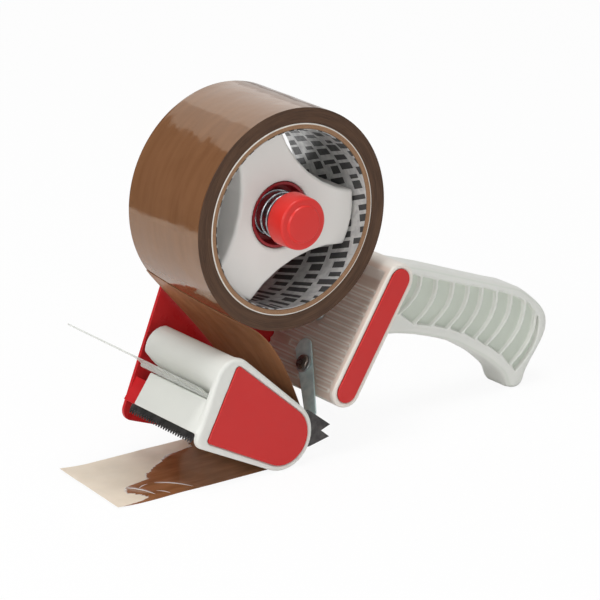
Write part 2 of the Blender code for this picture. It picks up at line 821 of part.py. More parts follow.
def roller():
    half = TAPE_WIDTH / 2
    inner = ROLLER_R - ROLLER_WALL
    web = ROLLER_WEB / 2
    bore = AXLE_R + SHAFT_CLEARANCE
    profile = [
        (ROLLER_R, half), (ROLLER_R, -half), (inner, -half), (inner, -web), (ROLLER_HUB_R, -web),
        (ROLLER_HUB_R, -half), (bore, -half), (bore, half), (ROLLER_HUB_R, half),
        (ROLLER_HUB_R, web), (inner, web), (inner, half),
    ]
    plastic = material("roller_plastic", (0.6, 0.6, 0.58), 0.5)
    return turned("guide_roller", profile, plastic, ROLLER)


def roller_axle():
    head = PLATE_OUTER_Y + SEAT_GAP
    near = GUARD_INNER_Y - GUARD_WALL / 3 + SEAT_GAP
    profile = [
        (0, head + AXLE_HEAD_THICKNESS), (AXLE_HEAD_R * 0.8, head + AXLE_HEAD_THICKNESS),
        (AXLE_HEAD_R, head + AXLE_HEAD_THICKNESS / 2), (AXLE_HEAD_R, head), (AXLE_R, head),
        (AXLE_R, near), (0, near),
    ]
    return turned("roller_axle", profile, ZINC, ROLLER, closed=False, steps=32)


def tape_catch():
    outline = [
        (ROLLER[0] + x * CATCH_REACH, ROLLER[1] + z * CATCH_REACH) for x, z in CATCH_SHARES
    ]
    near = GUARD_INNER_Y + SEAT_GAP
    obj = add("tape_catch", prism(outline, near, near + CATCH_THICKNESS))
    hole = rod(ROLLER, AXLE_R + SEAT_GAP, near - OVERRUN, near + CATCH_THICKNESS + OVERRUN, 32)
    boolean(obj, hole)
    return finish(obj, material("dark_steel", (0.04, 0.04, 0.045), 0.4, 0.8))


def tape_path():
    """Middle line of the threaded tape: off the roll, round the roller, out along the table."""
    roll_r = ROLL_R + SEAT_GAP + WEB_THICKNESS / 2
    wrap_r = ROLLER_R + SEAT_GAP + WEB_THICKNESS / 2
    peel, wrap = math.radians(PEEL_DEG), math.radians(WRAP_DEG)
    start = Vector((roll_r * math.cos(peel), roll_r * math.sin(peel)))
    end = Vector((ROLLER[0] + wrap_r * math.cos(wrap), ROLLER[1] + wrap_r * math.sin(wrap)))
    leaving = start + Vector((-math.sin(peel), math.cos(peel))) * PEEL_RUN
    coming = end - Vector((math.sin(wrap), -math.cos(wrap))) * WRAP_RUN
    steps = 14
    path = []
    for i in range(steps):
        t = i / steps
        spot = start * (1 - t) ** 3 + leaving * 3 * t * (1 - t) ** 2
        spot += coming * 3 * t * t * (1 - t) + end * t ** 3
        path.append((spot.x, spot.y))
    path += arc(ROLLER, wrap_r, wrap, -math.pi / 2)
    path.append((-TAIL_REACH_NEAR, ROLLER[1] - wrap_r))
    return path


def tape_web():
    half = TAPE_WIDTH / 2
    path = tape_path()
    obj = add("tape_web", prism(ribbon(path, WEB_THICKNESS), -half, half))
    floor = path[-1][1]
    wedge = [
        (-TAIL_REACH_NEAR - OVERRUN, -half), (-TAIL_REACH_NEAR, -half),
        (-TAIL_REACH_FAR, half), (-TAIL_REACH_FAR, half + OVERRUN),
        (-TAIL_REACH_NEAR - OVERRUN, half + OVERRUN),
    ]
    cut = prism(wedge, -OVERRUN, OVERRUN)
    cut.transform(Matrix.Rotation(-math.pi / 2, 4, "X"))
    cut.transform(Matrix.Translation((0, 0, floor)))
    weld(cut)
    boolean(obj, cut)
    return finish(obj, TAPE)


# Reel: hub, red cup, roll, core, liner

def hub_outline():
    """Three lobes on the core's bore, with hollow sides between them."""
    half = math.radians(HUB_LOBE_DEG) / 2
    gap = math.pi / HUB_LOBES - half
    edge = (HUB_R * math.cos(gap), HUB_R * math.sin(gap))
    far = (edge[0] ** 2 + edge[1] ** 2 - HUB_WAIST_R ** 2) / (2 * (edge[0] - HUB_WAIST_R))
    side_r = far - HUB_WAIST_R
    sweep = math.atan2(edge[1], far - edge[0])
    outline = []
    for k in range(HUB_LOBES):
        lobe = math.radians(HUB_LOBE_TURN_DEG) + k * math.tau / HUB_LOBES
        outline += arc((0, 0), HUB_R, lobe - half, lobe + half)
        middle = lobe + math.pi / HUB_LOBES
        centre = (far * math.cos(middle), far * math.sin(middle))
        hollow = arc(centre, side_r, middle + math.pi + sweep, middle + math.pi - sweep)
        outline += hollow[1:-1]
    return outline


def reel_hub():
    far = TAPE_WIDTH / 2
    shoulder = PLATE_FACE_Y - SEAT_GAP - SHAFT_SHOULDER
    mesh = weigh_rim(prism(hub_outline(), HUB_NEAR_Y, far), HUB_NEAR_Y)
    obj = bevel(add("reel_hub", mesh), HUB_EDGE, 2, by_weight=True)
    inside = pushed(hub_outline(), -HUB_WALL)
    boolean(obj, prism(inside, HUB_NEAR_Y + HUB_WALL, far + OVERRUN))
    mouth = (HUB_NEAR_Y - OVERRUN, HUB_NEAR_Y + 2 * HUB_WALL)
    boolean(obj, rod((0, 0), POCKET_R + HUB_WALL / 2, *mouth))
    floor = HUB_NEAR_Y + POCKET_DEPTH
    back = floor + POCKET_FLOOR
    outer = POCKET_R + HUB_WALL
    bore = HUB_SHAFT_R + SHAFT_CLEARANCE
    end = shoulder - SEAT_GAP
    front = HUB_NEAR_Y + SEAT_GAP
    core = [
        (HUB_BOSS_R, end), (HUB_BOSS_R, back), (outer, back), (outer, front), (POCKET_R, front),
        (POCKET_R, floor), (bore, floor), (bore, end),
    ]
    boolean(obj, turned_mesh(core), "UNION")
    return finish(obj, WHITE)


def brake_cup():
    outer = POCKET_R - SEAT_GAP
    floor = HUB_NEAR_Y + POCKET_DEPTH - SEAT_GAP
    near = HUB_NEAR_Y + 2 * SEAT_GAP
    bore = HUB_SHAFT_R + SHAFT_CLEARANCE
    profile = [
        (outer, floor), (outer, near), (outer - CUP_WALL, near),
        (outer - CUP_WALL, floor - CUP_FLOOR), (bore, floor - CUP_FLOOR), (bore, floor),
    ]
    return turned("brake_cup", profile, RED_PLASTIC)


def ring(name, outer, inner, low, high, mat):
    """Plain ring about the reel axis."""
    profile = [(outer, high), (outer, low), (inner, low), (inner, high)]
    return turned(name, profile, mat, steps=TURN_STEPS + TURN_STEPS // 3)


def roll():
    half = TAPE_WIDTH / 2
    ring("tape_roll", ROLL_R, ROLL_BORE_R, -half, half, TAPE)
    board = material("kraft_board", (0.33, 0.17, 0.09), 0.85)
    ring("tape_core", CORE_R, CORE_BORE_R, -half, half, board)
    foil = material("liner_foil", (0.55, 0.55, 0.55), 0.35)
    ring("core_liner", LINER_R, LINER_R - LINER_WALL, -half, half, foil)


# Shaft, nut, washers, spring, knob

def hub_shaft():
    near_shoulder = PLATE_FACE_Y - SEAT_GAP - SHAFT_SHOULDER
    profile = [
        (0, SHAFT_FAR_Y), (HUB_SHAFT_R, SHAFT_FAR_Y), (HUB_SHAFT_R, PLATE_FACE_Y - SEAT_GAP),
        (SHAFT_SHOULDER_R, PLATE_FACE_Y - SEAT_GAP), (SHAFT_SHOULDER_R, near_shoulder),
        (HUB_SHAFT_R, near_shoulder), (HUB_SHAFT_R, SHAFT_NEAR_Y), (0, SHAFT_NEAR_Y),
    ]
    return turned("hub_shaft", profile, ZINC, closed=False, steps=32)


def shaft_washer():
    low = PLATE_OUTER_Y + SEAT_GAP
    bore = HUB_SHAFT_R + SEAT_GAP
    profile = [(WASHER_R, low + WASHER_THICKNESS), (WASHER_R, low), (bore, low),
               (bore, low + WASHER_THICKNESS)]
    return turned("shaft_washer", profile, ZINC)


def shaft_nut():
    low = PLATE_OUTER_Y + 2 * SEAT_GAP + WASHER_THICKNESS
    corner_r = NUT_FLATS / math.sqrt(3)
    obj = add("shaft_nut", rod((0, 0), corner_r, low, low + NUT_HEIGHT, 6))
    hole = rod((0, 0), HUB_SHAFT_R + SEAT_GAP, low - OVERRUN, low + NUT_HEIGHT + OVERRUN, 32)
    boolean(obj, hole)
    return finish(obj, ZINC)


SPRING_SEAT_Y = HUB_NEAR_Y + POCKET_DEPTH - SEAT_GAP - CUP_FLOOR
SPRING_WASHER_Y = KNOB_BASE_Y + SEAT_GAP


def spring_points():
    """The spring's middle line, with a straight end as long as the wire is thick."""
    far = SPRING_SEAT_Y - SEAT_GAP
    near = SPRING_WASHER_Y + SPRING_WASHER_THICKNESS + SEAT_GAP
    radius = SPRING_OUTER_R - SPRING_WIRE_R
    leg = 2 * SPRING_WIRE_R
    count = SPRING_TURNS * SPRING_POINTS_PER_TURN
    span = far - near - 2 * leg
    points = [Vector((radius, near, 0))]
    for i in range(count + 1):
        turn = math.tau * i / SPRING_POINTS_PER_TURN
        y = near + leg + span * i / count
        points.append(Vector((radius * math.cos(turn), y, radius * math.sin(turn))))
    points.append(Vector((radius, far, 0)))
    return points


def least_gap(points, radius, skip):
    """Least gap from the tube to itself, leaving out stretches next to each other."""
    dense = []
    for a, b in zip(points, points[1:]):
        dense += [a.lerp(b, k / 4) for k in range(4)]
    least = min(
        (dense[i] - dense[j]).length
        for i in range(len(dense)) for j in range(i + 4 * skip, len(dense))
    )
    return least - 2 * radius


def brake_spring():
    points = spring_points()
    gap = least_gap(points, SPRING_WIRE_R, SPRING_POINTS_PER_TURN // 2)
    print("brake_spring least gap %.2f mm" % (gap * 1000))
    curve = bpy.data.curves.new("brake_spring", "CURVE")
    curve.dimensions = "3D"
    curve.bevel_depth = SPRING_WIRE_R
    curve.bevel_resolution = 1
    curve.use_fill_caps = True
    line = curve.splines.new("POLY")
    line.points.add(len(points) - 1)
    for spot, point in zip(line.points, points):
        spot.co = (*point, 1)
    guide = bpy.data.objects.new("spring_line", curve)
    CUTTERS.objects.link(guide)
    bpy.context.view_layer.update()
    evaluated = guide.evaluated_get(bpy.context.evaluated_depsgraph_get())
    mesh = bpy.data.meshes.new_from_object(evaluated)
    mesh.transform(guide.matrix_world)
    bpy.data.objects.remove(guide)
    bpy.data.curves.remove(curve)
    weld(mesh)
    steel = material("spring_steel", (0.6, 0.61, 0.62), 0.2, 1.0)
    return finish(add("brake_spring", mesh), steel, 60)


def spring_washer():
    bore = HUB_SHAFT_R + SHAFT_CLEARANCE
    high = SPRING_WASHER_Y + SPRING_WASHER_THICKNESS
    profile = [(SPRING_WASHER_R, high), (SPRING_WASHER_R, SPRING_WASHER_Y),
               (bore, SPRING_WASHER_Y), (bore, high)]
    return turned("spring_washer", profile, ZINC)


def knob():
    face = KNOB_FACE_Y
    tip_r = KNOB_R - KNOB_TAPER
    pocket = INSERT_R + SEAT_GAP
    floor = KNOB_BASE_Y - INSERT_LENGTH - 2 * SEAT_GAP
    profile = [
        (0, floor), (pocket, floor), (pocket, KNOB_BASE_Y), (KNOB_R, KNOB_BASE_Y),
        (tip_r, face + KNOB_STEP + KNOB_EDGE),
        (tip_r - KNOB_EDGE / 3, face + KNOB_STEP + KNOB_EDGE / 3),
        (tip_r - KNOB_EDGE, face + KNOB_STEP), (KNOB_CAP_R, face + KNOB_STEP),
        (KNOB_CAP_R - KNOB_STEP / 2, face), (0, face),
    ]
    return turned("knob", profile, KNOB_RED, closed=False)


def knob_insert():
    bore = HUB_SHAFT_R + SHAFT_CLEARANCE
    far = KNOB_BASE_Y - SEAT_GAP
    near = far - INSERT_LENGTH
    profile = [(INSERT_R, far), (INSERT_R, near), (bore, near), (bore, far)]
    brass = material("brass", (0.6, 0.42, 0.15), 0.35, 1.0)
    return turned("knob_insert", profile, brass, steps=32)


# Rear housing, its inlay and screws

WALL_FRONT = HOUSING_DEPTH / 2 - HOUSING_RECESS
WALL_BACK = WALL_FRONT - HOUSING_WALL
RIB_FRONT = WALL_FRONT + RIB_HEIGHT
HALF_STRAIGHT = (HOUSING_LENGTH - HOUSING_DEPTH) / 2
HOUSING_FAR_Y = PLATE_FACE_Y - SEAT_GAP
RIB_TOP_S = HALF_STRAIGHT - HOUSING_DEPTH / 2
PLUG_SCREWS = [RIB_TOP_S - RIB_PITCH, RIB_TOP_S - HOUSING_LENGTH * PLUG_SCREW_SHARE]
LEAF_SCREW = (OVERRUN + HOLE_R + SEAT_GAP / 2 - HALF_STRAIGHT, -LEAF_SCREW_SIDE)
LEAF_TIP = (LEAF_SCREW[0] - LEAF_RUN, -LEAF_SIDESTEP)
LEAF_TOP = tuple(a + (a - b) * LEAF_TOP_SHARE for a, b in zip(LEAF_SCREW, LEAF_TIP))
SHALLOW = SEAT_GAP / 2


def recess_cut(low, high, ribbed):
    """Space in front of the housing's wall, with or without the ribs standing in it."""
    front = HOUSING_DEPTH
    base = WALL_FRONT if ribbed else WALL_FRONT - SHALLOW
    line = [(-HOUSING_LENGTH, front), (-HOUSING_LENGTH, base)]
    if ribbed:
        for i in range(RIB_COUNT):
            s = RIB_TOP_S - (RIB_COUNT - i) * RIB_PITCH + RIB_PITCH / 2
            foot, top = RIB_PITCH / 4, RIB_PITCH / 9
            line += [(s - foot, WALL_FRONT), (s - top, RIB_FRONT)]
            line += [(s + top, RIB_FRONT), (s + foot, WALL_FRONT)]
    sweep = HOUSING_RECESS * 1.6
    steps = 6
    for i in range(steps + 1):
        turn = math.pi / 2 * i / steps
        rise = (HOUSING_RECESS + OVERRUN) * (1 - math.cos(turn))
        line.append((RIB_TOP_S + sweep * math.sin(turn), base + rise))
    line.append((RIB_TOP_S + sweep, front))
    return prism([housing_point(s, n) for s, n in line], low, high)


def rear_housing():
    outline = belt(list(housing_ends(HOUSING_DEPTH / 2)))
    mesh = weigh_rim(prism(outline, GUARD_FACE_Y, HOUSING_FAR_Y), GUARD_FACE_Y)
    obj = bevel(add("rear_housing", mesh), HOUSING_EDGE, 2, by_weight=True)
    band = GUARD_FACE_Y + HOUSING_SMOOTH_BAND
    boolean(obj, recess_cut(GUARD_INNER_Y, band, False))
    boolean(obj, recess_cut(band - SEAT_GAP / 3, HOUSING_FAR_Y + OVERRUN, True))
    reach = HALF_STRAIGHT - OVERRUN
    base = HOUSING_FAR_Y - HOUSING_WALL
    boolean(obj, block((-reach, -HOUSING_DEPTH), (reach, WALL_BACK), GUARD_INNER_Y, base))
    for spot in FIX_SPOTS:
        post = rod(spot, BOSS_R, base - BOSS_LENGTH, base + HOUSING_WALL / 2, 24)
        boolean(obj, post, "UNION")
    pilot = (HOUSING_FAR_Y - SCREW_LENGTH, HOUSING_FAR_Y + OVERRUN)
    boolean(obj, merged([rod(s, HOLE_R, *pilot, 20) for s in FIX_SPOTS]))
    top = RIB_FRONT + OVERRUN
    seat_r = SCREW_HEAD_R + 3 * SEAT_GAP
    seats = [plug_rod(seat_r, s, WALL_FRONT - SHALLOW, top) for s in PLUG_SCREWS]
    boolean(obj, merged(seats))
    boolean(obj, leaf_seat())
    holes = [plug_rod(HOLE_R, s, WALL_BACK - OVERRUN, top) for s in PLUG_SCREWS]
    holes.append(wall_rod(HOLE_R, LEAF_SCREW[0], WALL_BACK - OVERRUN, top, y=LEAF_SCREW[1]))
    boolean(obj, merged(holes))
    circles = list(housing_ends(HOUSING_DEPTH / 2 - HOUSING_RIM))
    depth = INLAY_THICKNESS - INLAY_PROUD + SEAT_GAP
    boolean(obj, prism(belt(circles), GUARD_FACE_Y - OVERRUN, GUARD_FACE_Y + depth))
    return finish(obj, WHITE)


def wall_rod(radius, s, back, front, steps=24, y=0):
    """Rod square to the housing's wall, at s along it and y across it."""
    work = bmesh.new()
    bmesh.ops.create_cone(
        work, cap_ends=True, segments=steps, radius1=radius, radius2=radius, depth=front - back
    )
    mesh = bpy.data.meshes.new("wall_rod")
    work.to_mesh(mesh)
    work.free()
    direction = Vector((HOUSING_FRONT[0], 0, HOUSING_FRONT[1]))
    mesh.transform(direction.to_track_quat("Z", "Y").to_matrix().to_4x4())
    x, z = housing_point(s, (back + front) / 2)
    mesh.transform(Matrix.Translation((x, y, z)))
    return mesh


def plug_rod(radius, s, back, front):
    """Rod square to the wall on the line of the handle's screws."""
    return wall_rod(radius, s, back, front, y=PLUG_SCREW_SIDE)


def wall_sheet(outline, back, front):
    """Sheet parallel to the housing's wall, from an outline in (s, y)."""
    mesh = prism(outline, back, front)
    a, f = HOUSING_ALONG, HOUSING_FRONT
    turn = Matrix((
        (a[0], f[0], 0, HOUSING_CENTRE[0]),
        (0, 0, 1, 0),
        (a[1], f[1], 0, HOUSING_CENTRE[1]),
        (0, 0, 0, 1),
    ))
    mesh.transform(turn)
    weld(mesh)
    return mesh


def leaf_outline(extra=0.0):
    """Wide top above the screw and an arm down to the near side, in (s, y)."""
    top = (LEAF_TOP, LEAF_TOP_R + extra)
    tip = (LEAF_TIP, LEAF_WIDTH / 2 + extra)
    return belt([top, tip])


def leaf_seat():
    """Flat for the leaf, cut through the ribs."""
    return wall_sheet(leaf_outline(3 * SEAT_GAP), WALL_FRONT - SHALLOW, RIB_FRONT + OVERRUN)


def screw(name, mesh_of):
    """Pan-head screw, from a shank and a head that lap."""
    shank, head = mesh_of
    obj = add(name, shank)
    boolean(obj, head, "UNION")
    return finish(obj, ZINC)


def wall_screw(name, s, seat, y=0):
    base = seat + SEAT_GAP
    tip = base - SCREW_LENGTH + SCREW_HEAD_THICKNESS
    shank = wall_rod(SCREW_R, s, tip, base + SCREW_HEAD_THICKNESS / 2, 20, y)
    head = wall_rod(SCREW_HEAD_R, s, base, base + SCREW_HEAD_THICKNESS, y=y)
    return screw(name, (shank, head))


def plate_screw(name, spot):
    base = PLATE_OUTER_Y + SEAT_GAP
    end = HOUSING_FAR_Y - SCREW_LENGTH + SEAT_GAP
    shank = rod(spot, SCREW_R, end, base + SCREW_HEAD_THICKNESS / 2, 20)
    head = rod(spot, SCREW_HEAD_R, base, base + SCREW_HEAD_THICKNESS, 24)
    return screw(name, (shank, head))


# Handle

def handle_cells(low, high):
    """Sunk cells between the grip ribs, as separate solids."""
    steps = 5
    lines = []
    for top, bottom in zip(RIB_TOP_SHARES, RIB_BOTTOM_SHARES):
        a, b = handle_point(top), handle_point(bottom)
        line = [
            (a[0] + (b[0] - a[0]) * (k / steps) ** GRIP_RIB_BEND,
             a[1] + (b[1] - a[1]) * k / steps)
            for k in range(steps + 1)
        ]
        lines.append(line)
    half = GRIP_RIB / 2
    cells = []
    for left, right in zip(lines, lines[1:]):
        outline = [(x + half, z) for x, z in left] + [(x - half, z) for x, z in right[::-1]]
        cells.append(prism(outline, low, high))
    return cells


def handle():
    half = HANDLE_WIDTH / 2
    outline = smooth([handle_point(s) for s in HANDLE_SHARES], 3)[::-1]
    obj = add("handle_grip", swollen(outline, -half, half, HANDLE_EDGE))
    near = handle_cells(-half - OVERRUN, -half + PANEL_DEPTH)
    far = handle_cells(half - PANEL_DEPTH, half + OVERRUN)
    boolean(obj, merged(near + far))
    room = belt(list(housing_ends(HOUSING_DEPTH / 2 + SEAT_GAP)))
    boolean(obj, prism(room, GUARD_FACE_Y, PLATE_OUTER_Y))
    corners = (-HOUSING_LENGTH, 0), (HOUSING_LENGTH, HOUSING_LENGTH)
    boolean(obj, block(*corners, GUARD_FACE_Y, PLATE_OUTER_Y))
    plug = block(
        (PLUG_SCREWS[1] - PLUG_NECK, -HOUSING_DEPTH / 2 - OVERRUN),
        (PLUG_SCREWS[0] + PLUG_NECK, WALL_BACK - SEAT_GAP), -PLUG_WIDTH / 2, PLUG_WIDTH / 2,
    )
    boolean(obj, plug, "UNION")
    holes = [
        plug_rod(HOLE_R, s, WALL_FRONT - SCREW_LENGTH, WALL_BACK + OVERRUN) for s in PLUG_SCREWS
    ]
    boolean(obj, merged(holes))
    return finish(obj, WHITE)


# Backstop leaf, its screw and washer

def backstop():
    seat = WALL_FRONT + SEAT_GAP
    top = seat + LEAF_THICKNESS
    obj = add("backstop_leaf", wall_sheet(leaf_outline(), seat, top))
    corner = housing_point(LEAF_TIP[0], seat + LEAF_THICKNESS / 2)
    foot = math.dist(corner, ROLLER) - ROLLER_R - LEAF_CLEARANCE
    foot = prism(
        ribbon([corner, along(corner, ROLLER, foot)], LEAF_THICKNESS),
        LEAF_TIP[1] - LEAF_WIDTH / 2 + OVERRUN / 2, LEAF_TIP[1] + LEAF_WIDTH / 2 - OVERRUN / 2,
    )
    boolean(obj, foot, "UNION")
    s, y = LEAF_SCREW
    boolean(obj, wall_rod(HOLE_R, s, seat - OVERRUN, top + OVERRUN, 20, y))
    finish(obj, ZINC)
    low = top + SEAT_GAP
    high = low + WASHER_THICKNESS
    washer = add("leaf_washer", wall_rod(SCREW_HEAD_R + 2 * SEAT_GAP, s, low, high, y=y))
    boolean(washer, wall_rod(HOLE_R, s, low - OVERRUN, high + OVERRUN, 20, y))
    finish(washer, ZINC)
    wall_screw("leaf_screw", s, high, y)


RED_PLASTIC = material("red_plastic", RED, 0.35)
KNOB_RED = material("knob_red", (0.62, 0.035, 0.02), 0.25)
ZINC = material("zinc_plate", STEEL, 0.35, 1.0)
TAPE = material("brown_tape", (0.21, 0.10, 0.05), 0.25)


side_plate()
nose_guard()
inlay("guard_inlay", shrunk(INLAY_CIRCLES, SEAT_GAP))
blade()
rivets()
flap()
roller()
roller_axle()
tape_catch()
tape_web()
reel_hub()
brake_cup()
roll()
hub_shaft()
shaft_washer()
shaft_nut()
brake_spring()
spring_washer()
knob()
knob_insert()
rear_housing()
inlay("housing_inlay", list(housing_ends(HOUSING_DEPTH / 2 - HOUSING_RIM - SEAT_GAP)))
for number, place in enumerate(FIX_SPOTS):
    plate_screw("plate_screw_%d" % (number + 1), place)
handle()
for number, place in enumerate(PLUG_SCREWS):
    wall_screw("handle_screw_%d" % (number + 1), place, WALL_FRONT, PLUG_SCREW_SIDE)
backstop()
bpy.context.view_layer.update()
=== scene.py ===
# Looks of the packing tape dispenser: moulded, painted, plated, wound and film pieces on the fixed
# frame, a plain pale floor, soft studio light and the camera.
# Lengths are in metres. A place from the reel or the roller is measured from the middle of its axis.

import json
import math

import bmesh
import bpy
from mathutils import Matrix, Vector, noise


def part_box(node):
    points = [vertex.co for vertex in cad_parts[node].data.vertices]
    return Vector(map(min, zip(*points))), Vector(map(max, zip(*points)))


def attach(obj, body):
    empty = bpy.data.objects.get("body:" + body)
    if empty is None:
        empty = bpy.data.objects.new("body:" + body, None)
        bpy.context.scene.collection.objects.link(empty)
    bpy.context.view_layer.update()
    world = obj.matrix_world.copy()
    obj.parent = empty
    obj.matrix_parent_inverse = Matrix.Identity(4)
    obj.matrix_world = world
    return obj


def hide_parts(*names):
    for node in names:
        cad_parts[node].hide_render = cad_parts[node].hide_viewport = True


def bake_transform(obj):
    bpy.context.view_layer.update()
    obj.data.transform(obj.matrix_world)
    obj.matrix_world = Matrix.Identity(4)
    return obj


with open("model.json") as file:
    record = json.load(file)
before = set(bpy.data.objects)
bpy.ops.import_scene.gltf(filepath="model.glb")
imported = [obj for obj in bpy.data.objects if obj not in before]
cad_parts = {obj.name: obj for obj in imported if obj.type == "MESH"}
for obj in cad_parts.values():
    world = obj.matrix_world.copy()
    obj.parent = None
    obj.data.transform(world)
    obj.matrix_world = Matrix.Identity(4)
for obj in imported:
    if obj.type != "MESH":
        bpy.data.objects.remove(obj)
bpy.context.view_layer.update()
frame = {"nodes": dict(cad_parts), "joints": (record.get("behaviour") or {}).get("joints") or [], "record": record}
NODES = frame["nodes"]

MM = 0.001


# Places and sizes worked out from the frame

X, Y = 0, 1
Y_AXIS = Vector((0, 1, 0))
PLATE_THICK = 1.5 * MM
# Height of the leaf's washer over the wall between the ribs
WASHER_LIFT = 0.7 * MM


def centre(node):
    low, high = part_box(node)
    return (low + high) / 2


def half_size(node, axis=X):
    low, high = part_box(node)
    return (high[axis] - low[axis]) / 2


def extent(node, direction):
    """Lowest and highest reach of a node along a direction."""
    reaches = [v.co.dot(direction) for v in NODES[node].data.vertices]
    return min(reaches), max(reaches)


AXIS = centre("tape_roll")
ROLLER = centre("guide_roller")
ROLL_R = half_size("tape_roll")
ROLLER_R = half_size("guide_roller")
CORE_R = half_size("tape_core")
LINER_R = half_size("core_liner")
HALF = half_size("tape_roll", Y)
# ALONG runs up the rear housing and FRONT looks out of its ribbed wall
ALONG = (centre("plate_screw_2") - centre("plate_screw_1")).normalized()
ALONG.y = 0
ALONG.normalize()
FRONT = Vector((-ALONG.z, 0, ALONG.x))
PLATE_FACE = extent("side_plate", Y_AXIS)[1] - PLATE_THICK
RIB_BASE = extent("leaf_washer", FRONT)[0] - WASHER_LIFT


# Materials: each is built from noise and masks in the piece's own space, sized in metres

def tint(red, green, blue):
    """Display colour from 0 to 255 as linear colour."""
    values = []
    for part in (red, green, blue):
        share = part / 255
        values.append(share / 12.92 if share <= 0.04045 else ((share + 0.055) / 1.055) ** 2.4)
    return (*values, 1.0)


class Wiring:
    """A node tree and a short call that adds nodes to it."""

    def __init__(self, tree):
        self.tree = tree

    def node(self, kind, *inputs, **settings):
        """New node with its settings and what goes into its first inputs."""
        made = self.tree.nodes.new(kind)
        for key, value in settings.items():
            setattr(made, key, value)
        for socket, value in zip(made.inputs, inputs):
            self.put(socket, value)
        return made

    def put(self, socket, value):
        if isinstance(value, bpy.types.NodeSocket):
            self.tree.links.new(value, socket)
        else:
            socket.default_value = value


